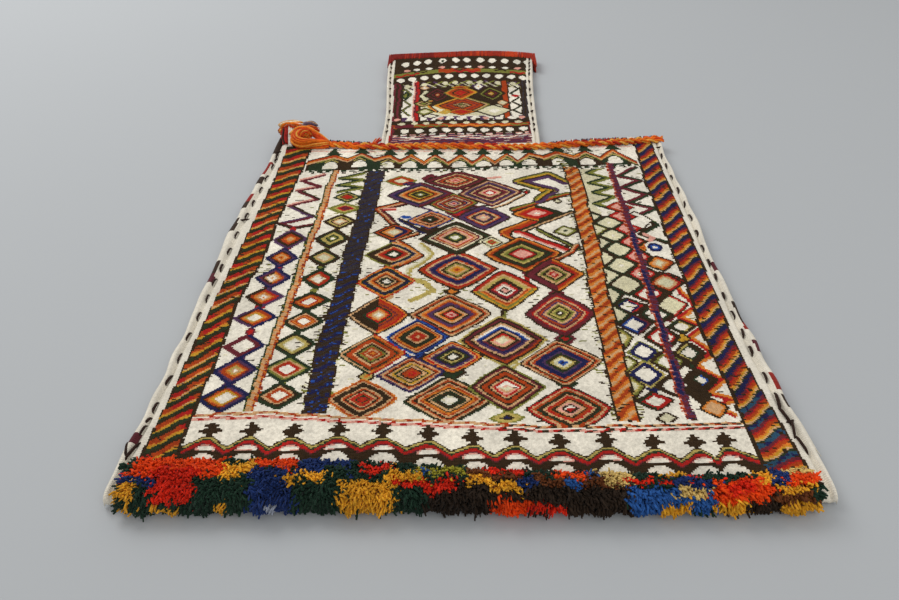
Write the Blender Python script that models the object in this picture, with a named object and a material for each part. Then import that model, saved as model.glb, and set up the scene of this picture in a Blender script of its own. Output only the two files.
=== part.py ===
"""A salt bag: a flat woven pouch with a narrow neck, knotted pile along its foot and a cord on its shoulder.

Sizes are millimetres, and become metres where a mesh is made. X runs across the bag, Y from its foot to its
mouth, and Z up from the surface it lies on. The plan is that of one handmade bag, so no side is quite straight.
"""

import math

import bmesh
import bpy
from mathutils import Vector
from mathutils.geometry import delaunay_2d_cdt

MM = 0.001

# Driving sizes
BODY_WIDTH = 490.0
BODY_LENGTH = 476.0
NECK_WIDTH = 200.0
NECK_LENGTH = 270.0
BACK_WALL = 3.0
POCKET_HEIGHT = 5.0
FRONT_WALL = 2.8
RELIEF = 0.8
WAVE = 0.7
CLEARANCE = 0.35

# The pouch's sewn edges, as widths in from the outer edge
FOOT_STRIP = 5.0
SHOULDER_STRIP = 6.0
NECK_STRIP = 10.0
MOUTH_STRIP = 5.0
GROOVE_DEPTH = 1.9
POCKET_MARGIN = 3.0
FOOT_FOLD = 8.0

# Sewing yarn, cord, pile, binding and tassel
YARN_RADIUS = 0.75
STITCH_LENGTH = 25.0
STITCH_RISE = 1.2
CORD_WIDTH = 13.0
CORD_HEIGHT = 7.0
CORD_PLAIT = 12.0
OVERCAST_RADIUS = 1.9
OVERCAST_STITCH = 8.0
PILE_HEIGHT = 12.5
PILE_REACH = 12.0
PILE_LOCK = 11.5
BINDING_WIDTH = 15.0
BINDING_THICKNESS = 1.2
BINDING_LIP = 1.3
MOUTH_LIFT = 1.5
LIFT_RUN = (9.0, 3.0)
CORNER_LIFT = 4.0
TASSEL_RADIUS = 7.0

# The size of the plan that the curves and motifs below are drawn on
PLAN_BODY_WIDTH = 490.0
PLAN_BODY_LENGTH = 476.0
PLAN_NECK_WIDTH = 200.0
PLAN_NECK_LENGTH = 270.0
PLAN_NECK_BASE = 106.0
PLAN_NECK_MIDDLE = 10.0
FOOT_LEFT = -255.0
FOOT_RIGHT = 248.0
LEFT_TOP = -213.0
RIGHT_TOP = 251.0
NECK_FOOT_LEFT = -90.0
NECK_FOOT_RIGHT = 104.0
MOUTH_LEFT = -93.0
MOUTH_RIGHT = 125.0

# Wool colours: one letter each, as the motif lists below name them
YARNS = {
    "I": ("ivory_wool", "#D9CFC0"),
    "K": ("dark_brown_wool", "#3A2A1E"),
    "G": ("dark_green_wool", "#26382A"),
    "N": ("navy_wool", "#22264A"),
    "B": ("blue_wool", "#1E3F7A"),
    "P": ("purple_wool", "#5A3A58"),
    "U": ("burgundy_wool", "#6E2630"),
    "R": ("madder_red_wool", "#A8201A"),
    "A": ("brick_wool", "#B8401A"),
    "O": ("orange_wool", "#C8762A"),
    "Y": ("gold_wool", "#B8902E"),
    "L": ("olive_wool", "#8A8648"),
    "T": ("tan_wool", "#C89A6A"),
    "S": ("pink_wool", "#D89A84"),
}


def curve(points):
    """A smooth function through (position, value) points whose positions rise."""

    def slope(i):
        before = points[max(i - 1, 0)]
        after = points[min(i + 1, len(points) - 1)]
        return (after[1] - before[1]) / (after[0] - before[0])

    def value(position):
        position = min(max(position, points[0][0]), points[-1][0])
        last = len(points) - 2
        i = next((k for k in range(last) if position < points[k + 1][0]), last)
        (start, low), (stop, high) = points[i], points[i + 1]
        span = stop - start
        t = (position - start) / span
        ease = t * t * (3 - 2 * t)
        leave = slope(i) * span * t * (1 - t) ** 2
        arrive = slope(i + 1) * span * t * t * (1 - t)
        return low + (high - low) * ease + leave - arrive

    return value


# The outline on the plan: x against y for the edges that run up the bag, y against x for those across it
LEFT_EDGE = curve([(-375, -255), (-270, -246), (-170, -240), (-50, -236), (60, -223), (140, -213)])
LEFT_BAND = curve([(-375, -241), (-290, -232), (-200, -226), (-110, -218), (0, -209), (140, -199)])
RIGHT_EDGE = curve([(-380, 248), (-250, 243), (-150, 241), (-50, 246), (60, 247), (120, 251)])
RIGHT_BAND = curve([(-380, 236), (-340, 232), (-250, 224), (-160, 227), (-50, 231), (120, 237)])
FOOT_EDGE = curve([(-255, -361), (-50, -366), (100, -372), (248, -374)])
LEFT_SHOULDER = curve([(-213, 137), (-190, 127), (-165, 121), (-90, 110)])
RIGHT_SHOULDER = curve([(104, 97), (140, 102), (180, 105), (251, 108)])
LEFT_NECK = curve([(97, -91), (180, -88), (300, -92), (376, -93)])
RIGHT_NECK = curve([(97, 104), (180, 108), (300, 117), (370, 125)])
MOUTH_EDGE = curve([(-93, 374), (-20, 377), (50, 378), (95, 372), (125, 364)])
PILE_EDGE = curve([(-255, -328), (-130, -333), (0, -340), (90, -345), (165, -350), (248, -344)])
CORD_LINE = curve([(-165, 113), (-100, 101), (0, 97), (95, 89), (140, 93), (180, 96), (250, 101)])

# Bands that run up the face: x of each long edge against y
LEFT_BARBER = curve([(-330, -208), (-250, -203), (-170, -199), (-110, -190), (0, -182), (105, -171)])
RIGHT_BARBER = curve([(-340, 202), (-300, 200), (-200, 201), (-100, 204), (0, 207), (105, 213)])
LEFT_STRIPE = curve([(-290, -166), (-180, -157), (-100, -149.5), (0, -142), (52, -137)])
RIGHT_STRIPE = curve([(-309, 164.5), (-250, 165.5), (-150, 169), (0, 174.5), (52, 176)])
NAVY_BAND = curve([(-294, -126), (-230, -122), (-150, -116), (-50, -108), (0, -103), (47, -100)])
ORANGE_BAND = curve([(-309, 110), (-250, 111), (-150, 116), (-50, 120), (0, 121), (45, 121)])

# Lozenges: middle, half width and half height, and the yarn of each ring from the outside in
FIELD_LOZENGES = [
    (-78.5, -281, 27, 19, "AGTU"),
    (-13.5, -285, 33.5, 21, "KATAGI"),
    (76.5, -296, 31, 23, "KALKAI"),
    (31.5, -274, 28, 22, "LOTRI"),
    (28.5, -303, 9, 5, "LN"),
    (-41, -256, 27, 18, "PALKA"),
    (76.5, -249, 32, 22, "KANLI"),
    (-76, -236, 27, 22, "GTKOA"),
    (-10, -239, 24, 18, "RLGI"),
    (33, -221.5, 37, 27.5, "USNRI"),
    (-40, -216, 27, 20, "NTGA"),
    (-8.6, -190, 35, 27, "GAPYR"),
    (-73, -188.5, 30, 22, "LAKRI"),
    (85.5, -193, 30, 29, "USLI"),
    (39, -160, 27, 25, "RLKRI"),
    (-68.5, -145, 26, 20, "SGYRI"),
    (87, -139, 25, 21, "RKSR"),
    (-3.5, -130, 36.5, 26, "GSNTKO"),
    (-66.5, -104, 26, 20, "KAGOI"),
    (61.5, -109, 33, 24, "LOGRS"),
    (-1.5, -81.5, 36, 23, "KLUTGI"),
    (37, -88, 10, 5, "SR"),
    (105, -75, 12, 9, "LI"),
    (-63.5, -67, 17, 13, "KYI"),
    (-28.5, -50, 22, 14, "NTKL"),
    (26, -48.5, 24, 17, "PSAI"),
    (-4.5, -22, 22, 16, "KAKP"),
    (-40, -3, 34, 20, "PYAKI"),
    (34, -4, 27, 20, "PSKRI"),
    (-1, 25, 30, 17, "AKAR"),
]
LEFT_LOZENGES = [
    (-187, -277, 17, 13, "NOI"),
    (-185, -249, 16, 13, "POI"),
    (-184, -222, 14, 11, "USI"),
    (-181, -188, 17, 11, "POI"),
    (-178, -161, 16, 12, "POI"),
    (-175, -135, 15, 13, "PTI"),
    (-173, -106, 14, 12, "RTI"),
    (-168, -77, 15, 14, "KOT"),
    (-146, -277, 16, 11, "KRI"),
    (-143, -250, 17, 13, "GRI"),
    (-141, -223, 17, 13, "GLI"),
    (-138, -195, 16, 12, "KAI"),
    (-137, -169, 17, 12, "KAI"),
    (-132, -138, 14, 12, "GAI"),
    (-130, -106, 14, 11, "KIR"),
    (-127, -77, 14, 15, "GLI"),
    (-123.5, -48, 13, 12, "KLI"),
    (-121.5, -24, 12, 9, "KA"),
    (-119, -4, 11, 8, "GLR"),
]
RIGHT_LOZENGES = [
    (153, -65, 8, 9, "LI"),
    (153, -83, 8, 9, "LI"),
    (153, -105, 8, 9, "LI"),
    (150, -130, 8, 9, "LI"),
    (149, -155, 8, 9, "LI"),
    (148, -186, 12, 9, "GRI"),
    (146, -208, 12, 10, "NBI"),
    (146, -241, 12, 11, "NBI"),
    (144, -265, 12, 11, "NBI"),
    (144, -291, 12, 8, "RI"),
    (190, -105, 7, 7, "BI"),
    (188, -130, 12, 9, "KLI"),
    (187, -158, 12, 10, "GAI"),
    (184, -187, 11, 11, "KLI"),
    (185, -213, 9, 6, "KI"),
    (183, -243, 10, 9, "LI"),
    (182, -270, 6, 5, "KI"),
    (184, -298, 8, 6, "OT"),
]
NECK_LOZENGES = [
    (-20, 240, 17, 20, "LKR"),
    (50, 240, 17, 20, "LKY"),
    (14, 262, 17, 15, "OKA"),
    (12, 216, 28, 22, "YKUL"),
    (12, 186, 14, 8, "OA"),
]


def zigzag(first, second, start, step, count):
    """Corners that swing between two places across the bag, at equal steps up it."""
    return [(second if i % 2 else first, start + step * i) for i in range(count)]


# Zigzags and hooked lines: width, yarn and corners
LINES = [
    (3.0, "U", zigzag(-180, -151, -52, 13.6, 8)),
    (2.5, "L", zigzag(-131, -105, 12, 6.4, 6)),
    (2.5, "G", zigzag(203, 181, 36, -13, 10)),
    (2.5, "L", zigzag(167, 147, 42, -9.2, 11)),
    (2.5, "R", zigzag(197, 192, -170, -14, 10)),
    (6.0, "R", [(60, -31), (104, -43), (62, -56)]),
    (5.0, "R", [(100, -48), (59, -77), (101, -99)]),
    (7.0, "Y", [(-36, -92), (-24, -106), (-38, -122), (-45, -131)]),
    (4.0, "Y", [(-41, -143), (-33, -153), (-30, -160)]),
    (3.5, "R", [(62, -156), (61, -142), (74, -128)]),
    (4.0, "P", [(70, -14), (105, -2), (72, 12), (104, 27)]),
    (3.0, "Y", [(77, -9), (112, -3), (80, 14), (112, 22)]),
]
NECK_LINES = [
    (7.0, "U", [(-72, 176), (-73, 266)]),
    (3.0, "G", zigzag(-64, -58, 186, 13.6, 7)),
    (8.0, "R", [(-47, 176), (-49, 268)]),
    (7.0, "A", [(69, 176), (71, 268)]),
    (3.0, "G", zigzag(78, 86, 184, 13.4, 7)),
    (8.0, "K", [(92.5, 178), (98, 268)]),
    (4.0, "L", [(-34, 212), (-22, 200), (-8, 190)]),
    (4.0, "K", [(30, 196), (50, 188), (64, 182)]),
]

# Borders: the middle of each small tree and of each white drop, across the bag
FOOT_TREES = [
    (-190, -306), (-160, -306.5), (-128.6, -308), (-95.7, -308), (-62, -310), (-29.3, -313.6), (3, -318),
    (34, -320.7), (65, -324.3), (98.6, -323.6), (130.7, -325.7), (161.4, -327), (188, -327),
]
SHOULDER_TREES = [
    (-144, 95), (-111, 95), (-77, 94), (-51, 93), (-22, 91), (6, 90), (33, 89), (60, 88), (86.5, 87),
    (121, 86.5), (154, 87), (186, 88),
]
NECK_DROP_ROWS = [
    (138, 5, 7, (-62, -44, -27, -10, 7, 23, 39, 55, 70, 88)),
    (292, 5.5, 8, (-71, -55, -38, -20, -3, 15, 33, 50, 68, 85, 100)),
    (344, 6, 8, (-65, -47, -33, -12, 8, 25, 43, 60, 80, 97)),
]
TREE_HALF_WIDTH = 7.0
TREE_HEIGHT = 10.0
ZIGZAG_DROP = 9.0
BORDER_LINE = 2.6

# Pile patches: where each ends across the bag, and its yarn, on the crest and on the front
PILE_CREST = [
    (-190, "A"), (-150, "Y"), (-105, "N"), (-82, "G"), (-55, "A"), (-10, "O"), (5, "L"), (40, "R"), (75, "G"),
    (98, "B"), (130, "Y"), (165, "B"), (200, "R"), (300, "O"),
]
PILE_FRONT = [
    (-236, "G"), (-222, "Y"), (-185, "R"), (-150, "G"), (-112, "N"), (-86, "G"), (-50, "Y"), (0, "G"),
    (16, "K"), (60, "R"), (105, "K"), (158, "B"), (198, "R"), (225, "K"), (300, "O"),
]
CORD_YARNS = "OYAOKA"
OVERCAST_YARNS = "PIKPI"
OVERCAST_LEFT = (-160, -96)
OVERCAST_RIGHT = (112, 244)
TASSEL_PATH = [
    (-164, 117, 0), (-176, 124, 1), (-190, 126, 2), (-201, 119, 2), (-203, 108, 1), (-196, 99, 0),
]


def on_body(x, y):
    """A point of the plan's body at the bag's real width and length."""
    return x * BODY_WIDTH / PLAN_BODY_WIDTH, y * BODY_LENGTH / PLAN_BODY_LENGTH


def on_neck(x, y):
    """A point of the plan's neck at its real width and length, seated on the middle of the shoulder."""
    middle, base = on_body(PLAN_NECK_MIDDLE, PLAN_NECK_BASE)
    across = (x - PLAN_NECK_MIDDLE) * NECK_WIDTH / PLAN_NECK_WIDTH
    return middle + across, base + (y - PLAN_NECK_BASE) * NECK_LENGTH / PLAN_NECK_LENGTH


def on_shoulder(x, y):
    """A point along the shoulder: across the neck as the neck is, and from there evenly to each side."""
    ends = [LEFT_TOP, NECK_FOOT_LEFT, NECK_FOOT_RIGHT, RIGHT_TOP]
    real = [on_body(LEFT_TOP, 0)[0], on_neck(NECK_FOOT_LEFT, 0)[0], on_neck(NECK_FOOT_RIGHT, 0)[0]]
    real.append(on_body(RIGHT_TOP, 0)[0])
    i = 0 if x < ends[1] else 1 if x < ends[2] else 2
    share = (x - ends[i]) / (ends[i + 1] - ends[i])
    return real[i] + (real[i + 1] - real[i]) * share, on_body(0, y)[1]


def near(value, start, stop):
    """0 at start and before, rising smoothly to 1 at stop."""
    t = min(max((value - start) / (stop - start), 0.0), 1.0)
    return t * t * (3 - 2 * t)


def ground(x, y):
    """Height of the cloth's face before its brocade, with the slow waves of cloth that lies loose."""
    level = BACK_WALL + POCKET_HEIGHT + FRONT_WALL
    calm = near(y, on_body(0, -320)[1], on_body(0, -270)[1])
    calm *= 1 - near(y, on_neck(0, 250)[1], on_neck(0, 330)[1])
    wave = math.sin(x / 58 + 0.6) * math.sin(y / 71 + 1.1) + 0.5 * math.sin(x / 31 - y / 44)
    corner_x, corner_y = on_shoulder(-205, 128)
    corner = math.exp(-((x - corner_x) ** 2 + (y - corner_y) ** 2) / 38**2)
    return level + WAVE * calm * wave + CORNER_LIFT * corner


def underside(x, y):
    """Height of the cloth's back, which lifts at the mouth to make room for the binding."""
    start, stop = (mouth_at(x) - BINDING_WIDTH - d for d in LIFT_RUN)
    return MOUTH_LIFT * near(y, start, stop)


def mouth_at(x):
    """How far up the bag its mouth is, at a place across it."""
    plan_x = PLAN_NECK_MIDDLE + (x - on_body(PLAN_NECK_MIDDLE, 0)[0]) * PLAN_NECK_WIDTH / NECK_WIDTH
    return on_neck(plan_x, MOUTH_EDGE(plan_x))[1]


def steps(start, stop, count):
    """Even steps from start, without the stop itself."""
    return [start + (stop - start) * i / count for i in range(count)]


def bag_outline(fineness=1.0):
    """The outer edge from above, anticlockwise from the foot's left end: kind, real point and plan height."""

    def spread(count):
        return max(2, round(count * fineness))

    left_foot, right_foot = FOOT_EDGE(FOOT_LEFT), FOOT_EDGE(FOOT_RIGHT)
    left_top, right_top = LEFT_SHOULDER(LEFT_TOP), RIGHT_SHOULDER(RIGHT_TOP)
    neck_left, neck_right = LEFT_SHOULDER(NECK_FOOT_LEFT), RIGHT_SHOULDER(NECK_FOOT_RIGHT)
    mouth_left, mouth_right = MOUTH_EDGE(MOUTH_LEFT), MOUTH_EDGE(MOUTH_RIGHT)
    lift_at = [(BINDING_WIDTH + d) * PLAN_NECK_LENGTH / NECK_LENGTH for d in LIFT_RUN]
    rising = steps(neck_right, mouth_right - lift_at[0], spread(7)) + [mouth_right - d for d in lift_at]
    falling = [mouth_left] + [mouth_left - d for d in reversed(lift_at)]
    falling += steps(mouth_left - lift_at[0], neck_left, spread(7))[1:]
    inwards = steps(RIGHT_TOP, NECK_FOOT_RIGHT, spread(5))
    outwards = steps(NECK_FOOT_LEFT, LEFT_TOP, spread(5))
    edges = [
        ("foot", on_body, [(x, FOOT_EDGE(x)) for x in steps(FOOT_LEFT, FOOT_RIGHT, spread(8))]),
        ("right", on_body, [(RIGHT_EDGE(y), y) for y in steps(right_foot, right_top, spread(14))]),
        ("shoulder", on_shoulder, [(x, RIGHT_SHOULDER(x)) for x in inwards]),
        ("neck", on_neck, [(RIGHT_NECK(y), y) for y in rising]),
        ("mouth", on_neck, [(x, MOUTH_EDGE(x)) for x in steps(MOUTH_RIGHT, MOUTH_LEFT, spread(7))]),
        ("neck", on_neck, [(LEFT_NECK(y), y) for y in falling]),
        ("shoulder", on_shoulder, [(x, LEFT_SHOULDER(x)) for x in outwards]),
        ("left", on_body, [(LEFT_EDGE(y), y) for y in steps(left_top, left_foot, spread(14))]),
    ]
    return [(kind, place(*point), point[1]) for kind, place, points in edges for point in points]


def strip_width(kind, plan_y):
    """How far a sewn or bound edge reaches in from the outline, for each kind of edge."""
    if kind == "left":
        return on_body(LEFT_BAND(plan_y) - LEFT_EDGE(plan_y), 0)[0]
    if kind == "right":
        return on_body(RIGHT_EDGE(plan_y) - RIGHT_BAND(plan_y), 0)[0]
    return {"foot": FOOT_STRIP, "shoulder": SHOULDER_STRIP, "neck": NECK_STRIP, "mouth": MOUTH_STRIP}[kind]


def inset(points, distances):
    """The closed loop moved inwards, each edge by its own distance, with mitred corners."""
    moved = []
    for i, (x, y) in enumerate(points):
        ends = [points[i - 1], points[i], points[(i + 1) % len(points)]]
        normals = []
        for (x0, y0), (x1, y1) in zip(ends, ends[1:]):
            length = math.hypot(x1 - x0, y1 - y0)
            normals.append(((y0 - y1) / length, (x1 - x0) / length))
        (ax, ay), (bx, by) = normals
        before, after = distances[i - 1], distances[i]
        turn = ax * by - ay * bx
        if abs(turn) > 0.3:
            moved.append((x + (before * by - after * ay) / turn, y + (after * ax - before * bx) / turn))
        else:
            reach = (before + after) / (1 + ax * bx + ay * by) / 2
            moved.append((x + (ax + bx) * reach, y + (ay + by) * reach))
    return moved


def solid(name, vertices, faces, yarns, parent, smooth=True):
    """A closed mesh object whose faces each take the wool named by their letter."""
    mesh = bpy.data.meshes.new(name)
    mesh.from_pydata([(x * MM, y * MM, z * MM) for x, y, z in vertices], [], faces)
    used = sorted(set(yarns))
    for letter in used:
        mesh.materials.append(wool(letter))
    for polygon, letter in zip(mesh.polygons, yarns):
        polygon.material_index = used.index(letter)
    work = bmesh.new()
    work.from_mesh(mesh)
    bmesh.ops.recalc_face_normals(work, faces=work.faces)
    work.to_mesh(mesh)
    work.free()
    if smooth:
        mesh.shade_smooth()
        mesh.set_sharp_from_angle(angle=math.radians(50))
    made = bpy.data.objects.new(name, mesh)
    made.parent = parent
    bpy.context.scene.collection.objects.link(made)
    return made


def wool(letter):
    """The matte wool that a letter stands for, made once."""
    name, colour = YARNS[letter]
    if name in bpy.data.materials:
        return bpy.data.materials[name]
    made = bpy.data.materials.new(name)
    made.use_nodes = True
    shader = made.node_tree.nodes["Principled BSDF"]
    shader.inputs["Base Color"].default_value = (*linear(colour), 1)
    shader.inputs["Roughness"].default_value = 0.9
    shader.inputs["Metallic"].default_value = 0.0
    made.diffuse_color = (*linear(colour), 1)
    return made


def linear(colour):
    """A hex colour as linear red, green and blue."""
    shares = [int(colour[i : i + 2], 16) / 255 for i in (1, 3, 5)]
    return [s / 12.92 if s < 0.04045 else ((s + 0.055) / 1.055) ** 2.4 for s in shares]


class Brocade:
    """Fields of yarn laid one over another inside the face's border, then meshed as one surface."""

    def __init__(self, border):
        self.border = len(border)
        self.at = on_body
        self.points, self.heights, self.fields, self.yarns = [], [], [], []
        self.add(border, "I", 0.0)

    def add(self, outline, letter, *heights):
        """A field with its corners at the heights given, the last of which holds for the rest."""
        first = len(self.points)
        self.points += outline
        self.heights += [heights[min(i, len(heights) - 1)] for i in range(len(outline))]
        self.fields.append(list(range(first, len(self.points))))
        self.yarns.append(letter)

    def mound(self, outline, letter):
        """A field that rises to its middle."""
        middle = [sum(axis) / len(outline) for axis in zip(*outline)]
        for i, corner in enumerate(outline):
            self.add([corner, outline[(i + 1) % len(outline)], middle], letter, 0.0, 0.0, RELIEF)

    def meshed(self):
        """Vertices, triangles, the yarn of each and the vertex at each border point: the top field wins."""
        points = [Vector(p) for p in self.points]
        found = delaunay_2d_cdt(points, [], self.fields, 1, 0.02)
        places, _, triangles, point_sources, _, field_sources = found
        vertices = []
        for place, sources in zip(places, point_sources):
            height = self.heights[max(sources)] if sources else 0.0
            if sources and min(sources) < self.border:
                height = 0.0
            vertices.append((place.x, place.y, ground(place.x, place.y) + height))
        kept = [(t, s) for t, s in zip(triangles, field_sources) if 0 in s]
        rim = {s: i for i, sources in enumerate(point_sources) for s in sources if s < self.border}
        return vertices, [t for t, _ in kept], [self.yarns[max(s)] for _, s in kept], rim


def lozenge(brocade, x, y, half_width, half_height, yarns):
    """Rings one inside another, with every second ring line raised."""
    for ring, letter in enumerate(yarns):
        share = 1 - ring / len(yarns)
        w, h = half_width * share, half_height * share
        corners = [(x - w, y), (x, y - h), (x + w, y), (x, y + h)]
        brocade.add([brocade.at(*c) for c in corners], letter, RELIEF * (ring % 2))


def drop(brocade, x, y, half_width, half_height, letter):
    """A small drop with its point towards the foot."""
    corners = [(-1, 0.1), (0, -1), (1, 0.1), (0.4, 0.85), (-0.4, 0.85)]
    brocade.mound([brocade.at(x + half_width * u, y + half_height * v) for u, v in corners], letter)


def tree(brocade, middle, letter):
    """A small triangle that stands for a tree, its point towards the mouth."""
    x, y = middle
    half, tall = TREE_HALF_WIDTH, TREE_HEIGHT / 2
    corners = [(x - half, y - tall), (x + half, y - tall), (x, y + tall)]
    brocade.mound([brocade.at(*c) for c in corners], letter)


def line(brocade, width, letter, corners):
    """A zigzag or bar of one width, with a raised spine."""
    sides = {-1: [], 1: []}
    for i, (x, y) in enumerate(corners):
        before, after = corners[max(i - 1, 0)], corners[min(i + 1, len(corners) - 1)]
        for side, points in sides.items():
            normals = []
            for (x0, y0), (x1, y1) in ((before, (x, y)), ((x, y), after)):
                length = math.hypot(x1 - x0, y1 - y0)
                if length:
                    normals.append((side * (y0 - y1) / length, side * (x1 - x0) / length))
            nx, ny = (sum(axis) / len(normals) for axis in zip(*normals))
            reach = min(width / 2 / max(math.hypot(nx, ny) ** 2, 0.2), width * 1.4)
            points.append(brocade.at(x + nx * reach, y + ny * reach))
    spine = [brocade.at(*corner) for corner in corners]
    for side, points in sides.items():
        for i in range(len(corners) - 1):
            half = [points[i], points[i + 1], spine[i + 1], spine[i]]
            brocade.add(half, letter, 0.0, 0.0, RELIEF, RELIEF)


def band(brocade, left, right, low, high, period, rise, yarns, edge=1.8):
    """A band up the bag in slanting stripes of several yarns, between narrow dark edges."""
    pieces = max(2, round((high - low) / 30))
    heights = [low + (high - low) * i / pieces for i in range(pieces + 1)]
    outline = [brocade.at(left(y), y) for y in heights]
    outline += [brocade.at(right(y), y) for y in reversed(heights)]
    brocade.add(outline, "K" if yarns[0] != "N" else "N", 0.0)
    stripe = period / len(yarns)
    count = int((high - low - rise - 1) / stripe)

    def cut(k):
        y = low + 0.5 + k * stripe
        return [brocade.at(left(y) + edge, y), brocade.at(right(y + rise) - edge, y + rise)]

    for k in range(count):
        lower, upper = cut(k), cut(k + 1)
        bottom, top = RELIEF * (k % 2), RELIEF * ((k + 1) % 2)
        brocade.add(lower + upper[::-1], yarns[k % len(yarns)], bottom, bottom, top, top)


def zigzag_border(brocade, peaks, drop_height, layers, floor):
    """Lines of yarn that rise and fall under a row of trees, with a dark field from them to the floor."""
    corners = []
    for (x0, y0), (x1, y1) in zip(peaks, peaks[1:]):
        corners += [(x0, y0), ((x0 + x1) / 2, (y0 + y1) / 2 - drop_height)]
    corners.append(peaks[-1])
    top = corners
    for i, (letter, thickness) in enumerate(layers):
        bottom = [(x, y - thickness) for x, y in top]
        outline = [brocade.at(*p) for p in bottom] + [brocade.at(*p) for p in reversed(top)]
        heights = [RELIEF * ((i + 1) % 2)] * len(bottom) + [RELIEF * (i % 2)]
        brocade.add(outline, letter, *heights)
        top = bottom
    lowest = [(x, floor(x)) for x in (peaks[0][0], peaks[-1][0])]
    brocade.add([brocade.at(*p) for p in top[::-1] + lowest], "G", 0.0)


def body_motifs(brocade):
    band(brocade, lambda y: LEFT_BAND(y) + 1.5, LEFT_BARBER, -318, 104, 16.5, 11, "AYG")
    band(brocade, RIGHT_BARBER, lambda y: RIGHT_BAND(y) - 1.5, -332, 96, 17.4, 22, "NRO")
    band(brocade, NAVY_BAND, lambda y: NAVY_BAND(y) + 19, -294, 46, 17, 8, "NP", edge=0.6)
    band(brocade, ORANGE_BAND, lambda y: ORANGE_BAND(y) + 18, -309, 44, 17, 8, "OA")
    for middle, letters, low in ((LEFT_STRIPE, "GOR", -291), (RIGHT_STRIPE, "OUP", -308)):
        heights = [low + (51 - low) * i / 8 for i in range(9)]
        for k, letter in enumerate(letters):
            start, stop = -3.6 + 2.4 * k, -1.2 + 2.4 * k
            outline = [brocade.at(middle(y) + start, y) for y in heights]
            outline += [brocade.at(middle(y) + stop, y) for y in reversed(heights)]
            brocade.add(outline, letter, *([RELIEF * (k % 2)] * 9), RELIEF * ((k + 1) % 2))
    for row in LEFT_LOZENGES + RIGHT_LOZENGES + FIELD_LOZENGES:
        lozenge(brocade, *row)
    for width, letter, corners in LINES:
        line(brocade, width, letter, corners)


def foot_border(brocade):
    peaks = [(x, y - 8) for x, y in FOOT_TREES]
    lines = [("L", BORDER_LINE), ("G", BORDER_LINE), ("R", BORDER_LINE)]
    zigzag_border(brocade, peaks, ZIGZAG_DROP, lines, lambda x: PILE_EDGE(x) + 1)
    for x, y in FOOT_TREES[:-1]:
        drop(brocade, x + 16, max(y - 21, PILE_EDGE(x + 16) + 4.5), 6, 2.2, "I")
    for middle in FOOT_TREES:
        tree(brocade, middle, "K")


def shoulder_border(brocade):
    brocade.at = on_shoulder
    peaks = [(x, y - 10) for x, y in SHOULDER_TREES]
    lines = [("A", BORDER_LINE), ("O", BORDER_LINE), ("G", BORDER_LINE)]
    zigzag_border(brocade, peaks, ZIGZAG_DROP, lines, lambda x: 52)
    for x, _ in SHOULDER_TREES[:-1]:
        drop(brocade, x, 62, 8, 6, "I")
    for middle in SHOULDER_TREES:
        tree(brocade, middle, "G")


def neck_motifs(brocade):
    brocade.at = on_neck
    for letter, low, high in (("U", 128, 146), ("P", 282, 302), ("K", 334, 352)):
        margin = NECK_STRIP + 1.5
        corners = [(LEFT_NECK(y) + margin, y) for y in (high, low)]
        corners += [(RIGHT_NECK(y) - margin, y) for y in (low, high)]
        brocade.add([brocade.at(*c) for c in corners], letter, 0.0)
    for y, half_width, half_height, middles in NECK_DROP_ROWS:
        for x in middles:
            drop(brocade, x, y, half_width, half_height, "I")
    for y, letter in ((153, "A"), (168, "P"), (316, "L")):
        count = 10
        corners = [(-74 + 168 * i / count, y + (2.5 if i % 2 else -2.5)) for i in range(count + 1)]
        line(brocade, 3.5, letter, corners)
    for row in NECK_LOZENGES:
        lozenge(brocade, *row)
    for width, letter, corners in NECK_LINES:
        line(brocade, width, letter, corners)


# The side edge from the brocade outwards: share of the strip's width, height, and how much of the groove is
# there. Heights are from the face until the widest point, and from the back after it.
FACE_SIDE = [(1.0, 0.0, 0), (0.9, 0.3, 0), (0.72, 0.3, 0), (0.63, 0.0, 1), (0.44, 0.0, 1), (0.34, 0.1, 0),
             (0.12, -0.8, 0), (0.0, -4.2, 0)]
BACK_SIDE = [(0.0, 3.4), (0.12, 0.7), (0.26, 0.0)]
GROOVE_MIDDLE = 0.535


def grooved(outline):
    """Whether each point of the outline lies between two sewn edges, where the groove is at full depth."""
    sewn = [kind in ("left", "right", "neck") for kind, _, _ in outline]
    return [sewn[i] and sewn[i - 1] for i in range(len(outline))]


def edge_rings():
    """Closed loops of points from the brocade's border round the rim to the underside."""
    outline = bag_outline()
    points = [point for _, point, _ in outline]
    widths = [strip_width(kind, plan_y) for kind, _, plan_y in outline]
    rings = []
    for share, height, groove in FACE_SIDE:
        places = inset(points, [w * share for w in widths])
        rings.append([
            (x, y, ground(x, y) + height - GROOVE_DEPTH * groove * cut)
            for (x, y), cut in zip(places, grooved(outline))
        ])
    for share, height in BACK_SIDE:
        places = inset(points, [w * share for w in widths])
        rings.append([(x, y, underside(x, y) + height) for x, y in places])
    return outline, rings


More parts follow.
